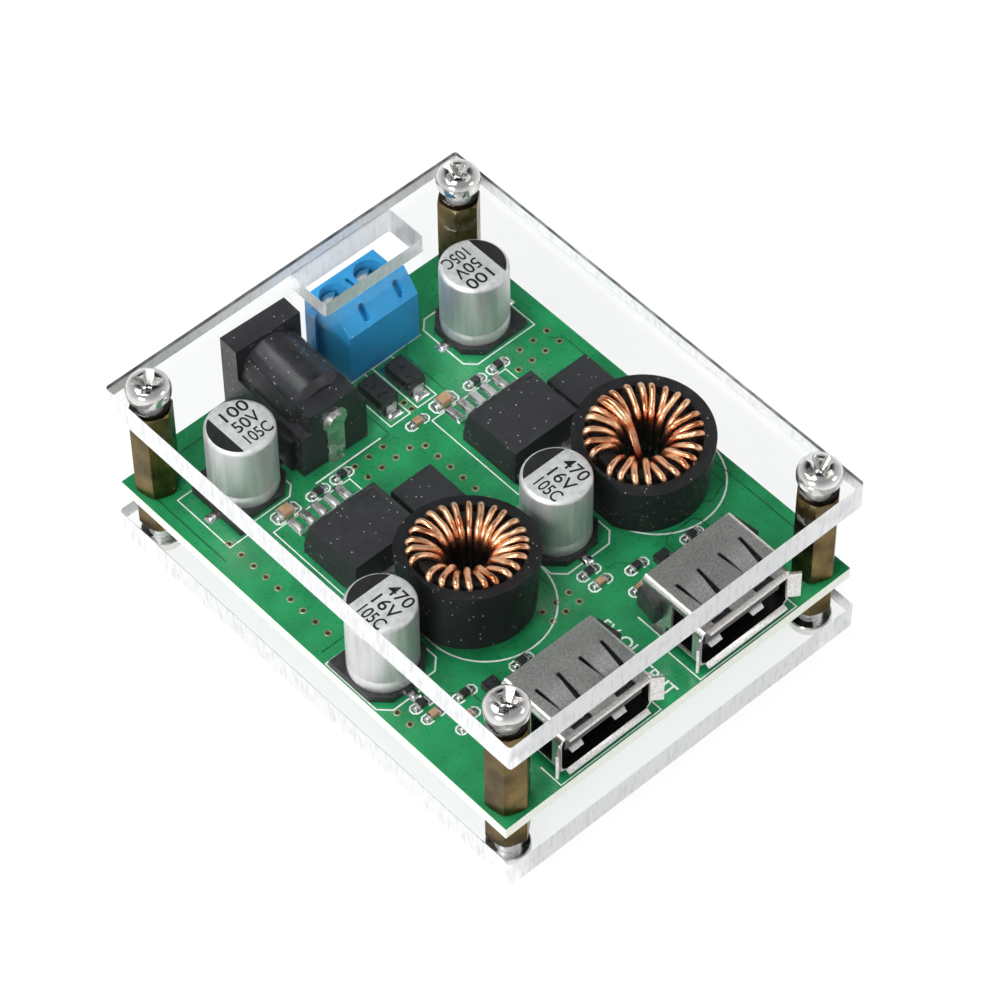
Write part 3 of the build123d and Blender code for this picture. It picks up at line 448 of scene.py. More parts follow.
def layout_tree():
    """Geometry Nodes that set one shape at each point, turned and sized by the point's attributes."""
    tree, given = new_tree("set out", "Pieces", Places="Geometry", Shape="Object", Finish="Material")
    shape = node_of(tree, "GeometryNodeObjectInfo", Object=given["Shape"])
    copies = node_of(tree, "GeometryNodeInstanceOnPoints", Points=given["Places"],
                     Instance=shape.outputs["Geometry"])
    for attribute, socket in (("turn", "Rotation"), ("size", "Scale")):
        value = node_of(tree, "GeometryNodeInputNamedAttribute", Name=attribute)
        value.data_type = "FLOAT_VECTOR"
        put(copies.inputs[socket], value.outputs["Attribute"])
    painted_end(tree, copies, given["Finish"])
    return tree


def grown(name, mesh, tree, **values):
    """Runs a tree of Geometry Nodes on a mesh and keeps what comes out as a plain piece."""
    piece = bpy.data.objects.new(name, mesh)
    scene.collection.objects.link(piece)
    modifier = piece.modifiers.new("nodes", "NODES")
    modifier.node_group = tree
    for item in tree.interface.items_tree:
        if item.name in values:
            modifier[item.identifier] = values[item.name]
    result = shape_now(piece)
    piece.modifiers.clear()
    piece.data = result
    return piece


def set_out(name, shape, places, material, material_slot, *nodes):
    """Copies of a shape at places, each a point, a turn and a size, as one piece."""
    mesh = bpy.data.meshes.new(name)
    mesh.from_pydata([place[0] for place in places], [], [])
    for attribute, column in (("turn", 1), ("size", 2)):
        values = mesh.attributes.new(attribute, "FLOAT_VECTOR", "POINT")
        values.data.foreach_set("vector", [c for place in places for c in place[column]])
    piece = grown(name, mesh, set_out_tree, Shape=shape, Finish=material)
    on_the_module(piece, material_slot, *nodes)


set_out_tree = layout_tree()
upright = (0.0, 0.0, 0.0)
full_size = (1.0, 1.0, 1.0)
post_x = 22.425
post_y = 28.6
screw_head = 2.0
cutter_top = screw_head + 0.3
corners = [(x, y) for x in (-post_x, post_x) for y in (-post_y, post_y)]
brass = turned_brass()
screw_nickel = bright_nickel("screw nickel", (0.80, 0.79, 0.77), 0.10, 0.22, 500)
dressed("lower_standoff_posts", "lower_standoffs", brass, "nickel_brass", 0.08 * mm)
lower_screw = screw_master(5.5)
places = [(Vector((x, y, screw_head)) * mm, (pi, 0, 0.3 * x), full_size) for x, y in corners]
set_out("base_plate_screws", lower_screw, places, screw_nickel, "nickel_steel", "bottom_screws")
bpy.data.objects.remove(lower_screw)

# 4. Circuit board: glass-fibre laminate with a copper layer on each face under glossy
# green mask. Its sawn edge is the bare pale laminate.
board_left = -25.325
board_front = -31.5
board_top = 11.4


def spot(x, y, z=0.0):
    """A point from the board's left and front edges and its top face, in millimetres."""
    return Vector((board_left + x, board_front + y, board_top + z)) * mm


def mix_of(tree, share, first, second):
    """A mix of two colours."""
    mix = tree.nodes.new("ShaderNodeMix")
    mix.data_type = "RGBA"
    for index, value in ((0, share), (6, first), (7, second)):
        put(mix.inputs[index], value)
    return mix.outputs[2]


def green_mask():
    """Green on the level faces and bare laminate on the edges and in the holes."""
    material, tree, shader = finish("green solder mask", (0.014, 0.27, 0.095), 0.3)
    facing = tree.nodes.new("ShaderNodeTexCoord").outputs["Normal"]
    facing = node_of(tree, "ShaderNodeSeparateXYZ", facing).outputs["Z"]
    level = math_of(tree, "ShaderNodeMath", "ABSOLUTE", facing).outputs[0]
    green = ramp_of(tree, noise_of(tree, 260, 4), (0.009, 0.20, 0.066), (0.015, 0.28, 0.096))
    laminate = (0.80, 0.83, 0.72, 1)
    ripple = noise_of(tree, 2200, 2)
    feed(shader, Coat_Weight=0.4, Coat_Roughness=0.08, Roughness=range_of(tree, ripple, 0.26, 0.34),
         Base_Color=mix_of(tree, range_of(tree, level, 0.0, 1.0, 0.4, 0.6), laminate, green))
    bump_of(tree, shader, ripple, 0.04, 0.00003)
    return material


dressed("masked_board", "circuit_board", green_mask(), "board_green", 0.06 * mm, 1)

# 5. What is printed and plated on the board: white ink outlines round the parts, dark
# gaps between the copper areas, and rings of tinned copper round the plated holes.


def thin_coat(name, low, high, roughness, scale, metallic=0.0):
    """Ink or metal in a thin layer, uneven in its colour and grain."""
    material, tree, shader = finish(name, high, roughness, metallic)
    grain = noise_of(tree, scale, 4)
    feed(shader, Base_Color=ramp_of(tree, grain, low, high),
         Roughness=range_of(tree, grain, 0.8 * roughness, 1.25 * roughness))
    bump_of(tree, shader, grain, 0.2, 0.00003)
    return material


def swept_end(tree, line, section, smooth, material):
    """Ends a tree: a section is swept along a line."""
    swept = node_of(tree, "GeometryNodeCurveToMesh", Curve=line.outputs[0],
                    Profile_Curve=section.outputs[0], Fill_Caps=True)
    shaded = node_of(tree, "GeometryNodeSetShadeSmooth", swept.outputs[0], Shade_Smooth=smooth)
    painted_end(tree, shaded, material)


def line_tree():
    """Geometry Nodes that draw flat lines along the edges of a mesh."""
    tree, given = new_tree("printed lines", "Lines", Paths="Geometry", Width="Float", Thickness="Float",
                           Ink="Material")
    curve = node_of(tree, "GeometryNodeMeshToCurve", given["Paths"])
    level = node_of(tree, "GeometryNodeSetCurveNormal", curve.outputs[0])
    level.mode = "Z_UP"
    section = node_of(tree, "GeometryNodeCurvePrimitiveQuadrilateral", Width=given["Width"],
                      Height=given["Thickness"])
    swept_end(tree, level, section, False, given["Ink"])
    return tree


def drawn(name, paths, width, material):
    """Flat lines on the board along paths of x and y."""
    points = []
    edges = []
    for path in paths:
        first = len(points)
        closed = path[0] == path[-1]
        kept = path[:-1] if closed else path
        points += [spot(x, y, print_level) for x, y in kept]
        edges += [(first + i, first + i + 1) for i in range(len(kept) - 1)]
        if closed:
            edges.append((len(points) - 1, first))
    mesh = bpy.data.meshes.new(name)
    mesh.from_pydata(points, edges, [])
    piece = grown(name, mesh, lines_tree, Width=width * mm, Thickness=print_thickness * mm, Ink=material)
    on_the_module(piece, "board_green")


def circle(x, y, radius, steps=60):
    """Points round a circle, the first one again at the end."""
    turns = [radians(360 * i / steps) for i in range(steps + 1)]
    return [(round(x + radius * cos(a), 4), round(y + radius * sin(a), 4)) for a in turns]


def frame_of(x1, y1, x2, y2, cut_left=0.0, cut_right=0.0, cut_front=0.0):
    """A rectangle, with its corners cut on one side where that is asked for."""
    front_left = max(cut_left, cut_front)
    front_right = max(cut_right, cut_front)
    points = [
        (x1 + front_left, y1), (x2 - front_right, y1), (x2, y1 + front_right), (x2, y2 - cut_right),
        (x2 - cut_right, y2), (x1 + cut_left, y2), (x1, y2 - cut_left), (x1, y1 + front_left),
    ]
    points = [p for i, p in enumerate(points) if p not in points[:i]]
    return points + [points[0]]


def brackets(x, y, half_length=1.5, half_width=0.62):
    """The two open outlines at the ends of a chip part."""
    gap, bevel = 0.45, 0.35
    corners = [(gap, half_width), (half_length - bevel, half_width), (half_length, half_width - bevel)]
    corners += [(along, -across) for along, across in reversed(corners)]
    return [[(x + side * along, y + across) for along, across in corners] for side in (-1, 1)]


lines_tree = line_tree()
print_thickness = 0.02
print_level = 0.012
white_ink = thin_coat("white ink", (0.66, 0.70, 0.66), (0.84, 0.86, 0.84), 0.5, 1800)
bare_gap = thin_coat("gap in the copper", (0.004, 0.065, 0.026), (0.007, 0.105, 0.040), 0.3, 900)
outlines = [
    circle(17.5, 22.4, 7.78), circle(42.8, 22.4, 7.78),
    frame_of(2.88, 47.8, 12.7, 56.75, cut_right=1.15), frame_of(38.2, 47.8, 48.0, 56.8, cut_left=1.15),
    frame_of(25.4, 19.3, 34.1, 28.9, cut_front=1.3), frame_of(0.25, 19.4, 8.8, 28.9, cut_front=1.3),
    frame_of(7.0, 31.0, 18.0, 45.2), frame_of(30.15, 31.0, 41.2, 45.2),
    frame_of(26.2, 47.64, 29.07, 55.3), frame_of(30.22, 47.68, 33.0, 55.3),
    frame_of(27.1, 55.4, 37.45, 62.8),
    [(8.07, 3.4), (8.07, 0.25), (22.52, 0.25), (22.52, 3.4)],
    [(28.29, 9.95), (28.29, 0.25), (42.68, 0.25), (42.68, 3.4)],
    [(14.8, 47.2), (24.3, 47.2)],
]
chip_spots = [
    (4.3, 17.9), (4.3, 16.05), (7.8, 15.0), (15.1, 14.05), (6.1, 12.6),
    (28.5, 17.9), (28.5, 16.05), (32.9, 15.0), (40.2, 14.05), (31.2, 12.6),
    (14.2, 46.1), (17.65, 46.1), (37.4, 46.1), (40.85, 46.1), (28.8, 46.1),
]
large_chip_spots = [(9.7, 46.3), (32.9, 46.3)]
for x, y in chip_spots:
    outlines += brackets(x, y)
for x, y in large_chip_spots:
    outlines += brackets(x, y, 1.75, 0.85)
drawn("printed_outlines", outlines, 0.2, white_ink)

gaps = [
    [(48.03, 19.05), (47.9, 16.95), (45.2, 16.0), (43.43, 17.17), (40.0, 17.0)],
    [(38.0, 15.7), (41.9, 15.7), (42.4, 15.1), (42.4, 13.2), (41.9, 12.7), (38.0, 12.7), (37.4, 13.3),
     (37.4, 15.1), (38.0, 15.7)],
    [(30.2, 17.0), (31.6, 17.0), (33.9, 14.2), (33.9, 12.6)],
    [(0.9, 30.3), (4.6, 30.3), (5.6, 31.3), (5.6, 44.5), (6.6, 45.5)],
    [(24.2, 18.9), (24.2, 29.4), (25.8, 31.0), (28.6, 31.0)],
    [(6.0, 16.9), (8.4, 14.5), (8.4, 12.4)], [(19.2, 47.0), (25.4, 47.0), (25.4, 56.5)],
    [(34.2, 46.9), (34.2, 54.2), (37.5, 57.4), (37.5, 62.0)], [(49.2, 4.0), (49.2, 44.0), (47.8, 45.4)],
    [(1.3, 46.6), (1.3, 58.6), (3.4, 60.7), (14.2, 60.7)],
]
drawn("copper_gaps", gaps, 0.16, bare_gap)

holes = [(x, y) for x in (42.2, 44.25, 46.3, 48.4) for y in (46.18, 44.12)]
holes += [(19.6, 46.1), (21.6, 46.1), (23.7, 46.1)]
holes += [(19.66, 44.0), (21.65, 44.0), (23.74, 44.0), (25.78, 44.0)]
holes += [(27.28, 43.04 - 2.05 * i) for i in range(6)]
holes += [(3.15, 48.28 - 2.06 * i) for i in range(9)]
holes += [(1.65, 18.88), (1.65, 16.83), (29.6, 49.24), (29.6, 48.03)]
holes += [(x, y) for x in (21.2, 23.13, 25.1) for y in (17.4, 15.75)]
ring = turned([(0.25, 0.0), (0.44, 0.0), (0.44, 0.018), (0.41, 0.03), (0.29, 0.03), (0.25, 0.0)], 24)
ring = finish_mesh("ring", ring)
round_edges(ring, 0)
tinned_ring = thin_coat("tinned ring", (0.22, 0.22, 0.085), (0.52, 0.49, 0.27), 0.32, 1500, 0.7)
places = [(spot(x, y), upright, full_size) for x, y in holes]
set_out("plated_hole_rings", ring, places, tinned_ring, "board_green")
# Painted shade: a thin near-black disc over each hole stands for the shade inside it.
plug = turned([(0, 0.0), (0.26, 0.0), (0.26, 0.008), (0, 0.008)], 16)
plug = finish_mesh("plug", plug)
painted_hole_shade = thin_coat("painted shade in a plated hole", (0.004, 0.006, 0.003), (0.02, 0.022, 0.012), 0.5, 2500)
set_out("plated_hole_bores", plug, places, painted_hole_shade, "board_green")
for master in (ring, plug):
    bpy.data.objects.remove(master)


stroke_spread = 0.012


def lettering(name, words, height, width, place, material, material_slot):
    """Words set flat on a face: the height is of a capital, the width is of the whole line."""
    curve = bpy.data.curves.new(name, "FONT")
    curve.body = words
    curve.offset = stroke_spread
    curve.align_x = "CENTER"
    curve.align_y = "CENTER"
    text = bpy.data.objects.new(name, curve)
    scene.collection.objects.link(text)
    mesh = shape_now(text)
    bpy.data.objects.remove(text)
    xs = [v.co.x for v in mesh.vertices]
    ys = [v.co.y for v in mesh.vertices]
    middle = Vector(((min(xs) + max(xs)) / 2, (min(ys) + max(ys)) / 2, 0))
    fit = Matrix.Diagonal((width * mm / (max(xs) - min(xs)), height * mm / (max(ys) - min(ys)), 1, 1))
    mesh.transform(place @ fit @ Matrix.Translation(-middle))
    mesh.materials.clear()
    mesh.materials.append(material)
    piece = bpy.data.objects.new(name, mesh)
    scene.collection.objects.link(piece)
    on_the_module(piece, material_slot)


words_place = Matrix.Translation(spot(25.0, 6.5, print_thickness)) @ Matrix.Rotation(-pi / 2, 4, "Z")
lettering("board_words", "5V OUTPUT", 1.6, 11.2, words_place, white_ink, "board_green")

# 6. Direct-current jack: a black moulded housing with a round barrel, a centre pin whose
# riveted end holds the rear solder tab, and a spring contact under the barrel.


speck_radius = 0.17
dust = (0.62, 0.62, 0.62, 1)


def moulded(name, low, high, roughness, specks=0.0, grain=1400, shine=0.5):
    """Moulded plastic with a fine grain and, where it is asked for, specks of pale dust."""
    material, tree, shader = finish(name, high, roughness)
    cloud = noise_of(tree, grain, 4)
    colour = ramp_of(tree, cloud, low, high)
    if specks:
        place = tree.nodes.new("ShaderNodeTexCoord")
        cells = node_of(tree, "ShaderNodeTexVoronoi", Vector=place.outputs["Object"], Scale=2500.0,
                        Randomness=1.0)
        lot = node_of(tree, "ShaderNodeSeparateColor", cells.outputs["Color"]).outputs["Red"]
        near = math_of(tree, "ShaderNodeMath", "LESS_THAN", cells.outputs["Distance"], speck_radius)
        chosen = math_of(tree, "ShaderNodeMath", "LESS_THAN", lot, specks)
        both = math_of(tree, "ShaderNodeMath", "MULTIPLY", near.outputs[0], chosen.outputs[0])
        colour = mix_of(tree, both.outputs[0], colour, dust)
    feed(shader, Base_Color=colour, Specular_IOR_Level=shine,
         Roughness=range_of(tree, cloud, 0.8 * roughness, 1.3 * roughness))
    bump_of(tree, shader, noise_of(tree, 3 * grain, 2), 0.25, 0.00003)
    return material


jack_black = moulded("jack plastic", (0.008, 0.008, 0.010), (0.016, 0.016, 0.019), 0.36, 0.14)
tin = bright_nickel("tin plating", (0.72, 0.71, 0.69), 0.2, 0.38, 700)
dressed("jack_body", "jack_housing", jack_black, "black_plastic", 0.15 * mm, 3)
dressed("jack_pin", "jack_centre_pin", tin, "tinned_metal", 0.05 * mm)
dressed("jack_tab", "jack_rear_tab", tin, "tinned_metal", 0.05 * mm)
dressed("jack_contact", "jack_spring_contact", tin, "tinned_metal", 0.05 * mm)

# 7. Screw terminal: a blue moulded housing with a sloping front, and under each round
# opening a slotted screw that draws a clamp up against the wire.
blue_nylon = moulded("blue nylon", (0.014, 0.245, 0.52), (0.018, 0.285, 0.60), 0.4, 0.05, 500)
dressed("terminal_block", "terminal_housing", blue_nylon, "terminal_blue", 0.1 * mm)
dressed("terminal_slotted_screws", "terminal_screws", screw_nickel, "tinned_metal", 0.06 * mm)
dressed("terminal_wire_clamps", "terminal_clamps", tin, "tinned_metal", 0.05 * mm)
dressed("terminal_solder_pins", "terminal_pins", tin, "tinned_metal", 0.05 * mm)

# 8. Aluminium capacitors: a drawn can pinched in above its black base. A black segment
# is printed at the negative side of its top, with its plain value beside it.


can_radius = 4.0
can_top = 10.3
can_edge = 0.55


def drawn_aluminium():
    """Dull metal with faint upright lines."""
    material, tree, shader = finish("drawn aluminium", (0.68, 0.68, 0.68), 0.5, 0.85)
    lines = noise_of(tree, 1600, 3, (1, 1, 0.08))
    feed(shader, Base_Color=ramp_of(tree, lines, (0.58, 0.58, 0.58), (0.70, 0.70, 0.70), 0.3, 0.6),
         Roughness=range_of(tree, lines, 0.44, 0.58))
    bump_of(tree, shader, lines, 0.15, 0.00002)
    return material


def can_profile():
    """The can from the middle of its floor round to the middle of its top."""
    side = [(0, 0.7), (3.5, 0.7), (3.85, 0.78), (3.98, 0.95), (can_radius, 1.3), (can_radius, 1.95),
            (3.95, 2.12), (3.84, 2.33), (3.8, 2.45), (3.84, 2.57), (3.95, 2.78), (can_radius, 2.95),
            (can_radius, can_top - 0.7)]
    turns = [radians(15 * i) for i in range(1, 7)]
    inner, low = can_radius - can_edge, can_top - can_edge
    edge = [(inner + can_edge * cos(a), low + can_edge * sin(a)) for a in turns]
    return side + edge + [(2.0, can_top), (0, can_top)]


def segment(radius, chord, steps=32):
    """A flat bmesh of the part of a disc on the far side of a chord at x = -chord."""
    reach = atan2((radius * radius - chord * chord) ** 0.5, -chord)
    bm = bmesh.new()
    turns = [reach + (2 * pi - 2 * reach) * i / steps for i in range(steps + 1)]
    bm.faces.new([bm.verts.new((radius * cos(a) * mm, radius * sin(a) * mm, 0)) for a in turns])
    return bm


aluminium = drawn_aluminium()
black_ink = moulded("black ink", (0.006, 0.006, 0.007), (0.012, 0.012, 0.013), 0.5, shine=0.25)
base_black = moulded("capacitor base", (0.012, 0.012, 0.013), (0.026, 0.026, 0.028), 0.42, 0.05)
capacitors = (
    ("left_input", (8.9, 52.35), 0, ("100", "50V")),
    ("right_input", (43.06, 52.35), pi, ("100", "50V")),
    ("left_output", (4.45, 24.25), -pi / 2, ("470", "16V")),
    ("right_output", (29.55, 24.25), -pi / 2, ("470", "16V")),
)
for side, (x, y), heading, value in capacitors:
    stand = Matrix.Translation(spot(x, y)) @ Matrix.Rotation(heading, 4, "Z")
    can = turned(can_profile(), 96)
    can.transform(stand)
    can = finish_mesh(side + "_can", can, aluminium)
    round_edges(can, 0)
    on_the_module(can, "aluminium_can", side + "_capacitor_can")
    dressed(side + "_base", side + "_capacitor_base", base_black, "black_plastic", 0.12 * mm)
    dressed(side + "_lead_strips", side + "_capacitor_leads", tin, "tinned_metal", 0.04 * mm)
    mark = segment(3.62, 1.9)
    mark.transform(stand @ Matrix.Translation((0, 0, (can_top + 0.005) * mm)))
    on_the_module(finish_mesh(side + "_negative_mark", mark, black_ink), "black_plastic")
    for line, words in enumerate((*value, "105C")):
        place = stand @ Matrix.Translation(Vector((0.95, 2.0 - 2.0 * line, can_top + 0.01)) * mm)
        lettering(f"{side}_value_{line}", words, 1.6, 3.4, place, black_ink, "aluminium_can")

# 9. Inductors: enamelled copper wire wound tightly round a pressed powder ring, in a
# black moulded cup. The two wire ends go down through the floor of the cup.
cup_x = (15.9, 41.6)
cup_y = 23.35
cup_base_radius = 7.35
cup_leans = (-8.1, 4.8)
lean_heading = radians(48.2)
coil_turns = 25
lead_radius = 4.6


def cup_stand(x, lean):
    """The cup's own frame: it leans, and the low edge of its base rests on the board."""
    lift = cup_base_radius * abs(sin(radians(lean)))
    out = Matrix.Rotation(lean_heading, 4, "Z")
    stand = Matrix.Translation(spot(x, cup_y, lift)) @ out
    return stand @ Matrix.Rotation(radians(-lean), 4, "Y") @ out.inverted()


def enamelled_copper():
    """Copper under its varnish, bright at the top of the turns, with painted shade that turns it deep red
    towards the board.
    """
    material, tree, shader = finish("enamelled copper", (0.85, 0.42, 0.24), 0.24, 1.0)
    shade = noise_of(tree, 420, 4)
    place = tree.nodes.new("ShaderNodeTexCoord")
    # Painted shade: below the tops of the turns the colour darkens to deep red, for the shade down in the
    # hole and between the turns.
    height = node_of(tree, "ShaderNodeSeparateXYZ", place.outputs["Object"]).outputs["Z"]
    height = range_of(tree, height, 0, 1, 17.6 * mm, 20.0 * mm)
    painted_depth_shade = ramp_of(tree, height, (0.26, 0.10, 0.07), (1.0, 1.0, 1.0), 0, 1)
    metal = ramp_of(tree, shade, (0.62, 0.19, 0.065), (1.0, 0.58, 0.34), 0.34, 0.54)
    both = math_of(tree, "ShaderNodeVectorMath", "MULTIPLY", metal, painted_depth_shade)
    feed(shader, Coat_Weight=0.5, Coat_Roughness=0.1, Base_Color=both.outputs[0],
         Roughness=range_of(tree, shade, 0.2, 0.34))
    bump_of(tree, shader, noise_of(tree, 2400, 2), 0.15, 0.00003)
    return material


def wire_tree():
    """Geometry Nodes that draw a round wire along a chain of edges."""
    tree, given = new_tree("wound wire", "Wire", Path="Geometry", Radius="Float", Copper="Material")
    curve = node_of(tree, "GeometryNodeMeshToCurve", given["Path"])
    section = node_of(tree, "GeometryNodeCurvePrimitiveCircle", Resolution=10, Radius=given["Radius"])
    swept_end(tree, curve, section, True, given["Copper"])
    return tree


def between(points, i, share):
    """A place on the smooth line through points, after point i."""
    a, b, c, d = (points[k] for k in (i - 1, i, i + 1, i + 2))
    bend = share * share * (2 * a - 5 * b + 4 * c - d + share * (3 * b - a - 3 * c + d))
    return 0.5 * (2 * b + share * (c - a) + bend)


def one_turn(stacked):
    """Radius and height round one turn: up the hole, out over the top, down the wall and back."""
    inside = 2.98 - 0.42 * stacked
    over = 0.16 * stacked
    loop = [(inside, 1.7), (inside, 3.9), (inside, 5.7), (inside + 0.14, 6.65), (inside + 0.5, 7.35 + over),
            (inside + 1.15, 7.92 + over), (4.85, 8.28), (5.6, 8.5), (6.15, 8.44), (6.36, 8.12), (6.24, 7.5),
            (6.15, 6.2), (6.15, 4.2), (6.13, 2.1), (5.85, 1.3), (4.6, 1.18), (3.3, 1.22)]
    return [Vector(point) for point in loop]


def winding_path(first, span, seed):
    """Points along the wire, in the cup's frame. Every other turn lies on its neighbours in the hole."""
    chance = random.Random(seed)
    inner_sway = [chance.uniform(-1, 1) for _ in range(coil_turns + 2)]
    outer_sway = [chance.uniform(-1, 1) for _ in range(coil_turns + 2)]
    loops = [one_turn(0), one_turn(1)]
    keys = len(loops[0])
    path = []
    for step in range(2 * keys * coil_turns + 1):
        turn_now, part = divmod(step, 2 * keys)
        key, half = divmod(part, 2)
        this_loop = loops[turn_now % 2]
        loop = [this_loop[-1]] + this_loop + this_loop[:2]
        out, height = between(loop, key + 1, half / 2)
        outward = (out - 2.4) / 4.0
        sway = (1 - outward) * 0.10 * inner_sway[turn_now] + outward * 0.042 * outer_sway[turn_now]
        angle = first + span * (turn_now + part / (2 * keys)) / coil_turns + sway
        path.append(Vector((out * cos(angle), out * sin(angle), height)))
    return path


def smooth_line(points, parts=6):
    """A smooth open line through points."""
    ends = [2 * points[0] - points[1]] + points + [2 * points[-1] - points[-2]]
    line = [between(ends, i + 1, k / parts) for i in range(len(points) - 1) for k in range(parts)]
    return line + [points[-1]]


def lead_down(angle):
    """A wire end that goes down through the floor of the cup."""
    x, y = lead_radius * cos(angle), lead_radius * sin(angle)
    return [Vector((x, y, -3.0)), Vector((x, y, 1.1))]


def slack_turn(shift):
    """A slack pass of the wire, from the back of the cup over the other turns and across the hole."""
    points = [(-0.9, 5.9, 7.3), (-0.8, 6.3, 8.3), (-0.7, 5.6, 8.9), (-0.5, 4.1, 8.9), (-0.4, 2.8, 8.4),
              (-0.32, 1.9, 7.1), (-0.69, 0.74, 6.0), (-1.05, -0.3, 5.0), (-1.18, -0.7, 3.6),
              (-1.1, -0.75, 1.9)]
    return smooth_line([Vector((x + shift * (1 - 0.07 * i), y, z + 0.2 * shift))
                        for i, (x, y, z) in enumerate(points)])


copper = enamelled_copper()
core_section = [(3.25, 1.7), (3.25, 6.0), (3.5, 6.75), (4.1, 7.4), (4.9, 7.85), (5.5, 8.0), (5.77, 7.6),
                (5.77, 2.0), (5.4, 1.6), (3.6, 1.6), (3.25, 1.7)]
powder_black = moulded("pressed powder", (0.003, 0.003, 0.003), (0.009, 0.009, 0.010), 0.6, shine=0.2)
cup_black = moulded("cup plastic", (0.005, 0.005, 0.006), (0.010, 0.010, 0.011), 0.45, 0.13, shine=0.2)
wire_nodes = wire_tree()
wire_radius = 0.385
windings = (("left", radians(181), radians(344), 3, ()),
            ("right", radians(183), radians(346), 8, (0.0, 0.5)))
for (side, first, span, seed, slack), x, lean in zip(windings, cup_x, cup_leans):
    dressed(side + "_cup", side + "_inductor_cup", cup_black, "black_plastic", 0.22 * mm, 3)
    runs = [winding_path(first, span, seed), lead_down(radians(-60)), lead_down(radians(120))]
    runs += [slack_turn(shift) for shift in slack]
    stand = cup_stand(x, lean)
    ring = turned(core_section, 72)
    bmesh.ops.remove_doubles(ring, verts=ring.verts, dist=same_place)
    bmesh.ops.recalc_face_normals(ring, faces=ring.faces)
    ring.transform(stand)
    ring = finish_mesh(side + "_ring_core", ring, powder_black)
    round_edges(ring, 0.15 * mm)
    on_the_module(ring, "ferrite", side + "_inductor_core")
    points = [stand @ (p * mm) for run in runs for p in run]
    starts = [sum(len(run) for run in runs[:i]) for i in range(len(runs))]
    edges = [(start + i, start + i + 1) for start, run in zip(starts, runs) for i in range(len(run) - 1)]
    mesh = bpy.data.meshes.new(side + "_wound_wire")
    mesh.from_pydata(points, edges, [])
    wire = grown(side + "_wound_wire", mesh, wire_nodes, Radius=wire_radius * mm, Copper=copper)
    on_the_module(wire, "enamelled_copper", side + "_inductor_winding")

# 10. Regulators and diodes: blocks of black moulding compound on a metal tab or on folded
# straps. The regulators have five leads, which bend down to their pads.
compound = moulded("moulding compound", (0.011, 0.011, 0.013), (0.021, 0.021, 0.024), 0.5, 0.14, shine=0.38)
gloss_compound = moulded("glossy compound", (0.010, 0.010, 0.011), (0.020, 0.020, 0.022), 0.3, 0.06)
for side in ("left", "right"):
    dressed(side + "_regulator_block", side + "_regulator_body", compound, "epoxy_black", 0.12 * mm)
    dressed(side + "_regulator_heat_tab", side + "_regulator_tab", tin, "tinned_metal", 0.06 * mm)
    dressed(side + "_regulator_legs", side + "_regulator_leads", tin, "tinned_metal", 0.05 * mm)
    dressed(side + "_power_diode_block", side + "_power_diode_body", compound, "epoxy_black", 0.1 * mm)
    dressed(side + "_power_diode_clips", side + "_power_diode_straps", tin, "tinned_metal", 0.04 * mm)
    dressed(side + "_input_diode_block", side + "_input_diode_body", gloss_compound, "epoxy_black", 0.08 * mm)
    dressed(side + "_input_diode_clips", side + "_input_diode_straps", tin, "tinned_metal", 0.04 * mm)

# 11. Output sockets: a folded nickel-plated shell with two spring tongues in its top, a
# black insulator with its tongue, and four gilt contact strips.


def rubbed_nickel(name, low, high):
    """Dull plating on rolled sheet, with a fine even grain."""
    material, tree, shader = finish(name, high, 0.3, 1.0)
    grain = noise_of(tree, 4600, 2)
    feed(shader, Base_Color=ramp_of(tree, grain, low, high, 0.3, 0.7),
         Roughness=range_of(tree, noise_of(tree, 700, 4), 0.29, 0.33))
    bump_of(tree, shader, grain, 0.06, 0.00002)
    return material


shell_nickel = rubbed_nickel("shell nickel", (0.52, 0.51, 0.49), (0.86, 0.84, 0.81))
# A dark copy of the shell nickel: painted shade for the inside of the shell.
shade_painted_nickel = rubbed_nickel("nickel painted dark for the shade inside the shell", (0.05, 0.05, 0.05), (0.09, 0.088, 0.085))
socket_black = moulded("socket insulator", (0.008, 0.008, 0.009), (0.018, 0.018, 0.020), 0.35)
gilt = thin_coat("gilt contact", (0.70, 0.50, 0.20), (0.90, 0.70, 0.32), 0.22, 900, 1.0)


socket_front = 0.25
spring_middles = (-3.1, 3.1)
tongue_tip = 1.7
tongue_root = 6.3
tongue_drop = 0.3


def bent_tongues(bm, x):
    """Bends the two spring tongues of the shell inwards and curves the roots of their slits."""
    length = tongue_root - tongue_tip
    for step in range(19):
        sliced(bm, spot(0, socket_front + tongue_tip + 0.1 + 0.25 * step), (0, 1, 0))
    for v in bm.verts:
        place = (v.co - spot(x, socket_front)) / mm
        if not (tongue_tip - 0.1 < place.y < tongue_root and 6.3 < place.z < 6.9):
            continue
        half_width = 1.15 + 0.4 * (place.y - tongue_tip) / length
        if any(abs(place.x - middle) < half_width for middle in spring_middles):
            v.co.z -= tongue_drop * mm * (1 - cos(1.2 * pi * (tongue_root - place.y) / length))


def paint_shade_inside(bm, x):
    """Gives the faces inside the shell, behind its lips, the second material: a dark copy of the nickel, as
    painted shade.
    """
    for face in bm.faces:
        place = (face.calc_center_median() - spot(x, socket_front)) / mm
        if abs(place.x) < 6.4 and place.y > 0.9 and 1.2 < place.z < 6.55:
            face.material_index = 1


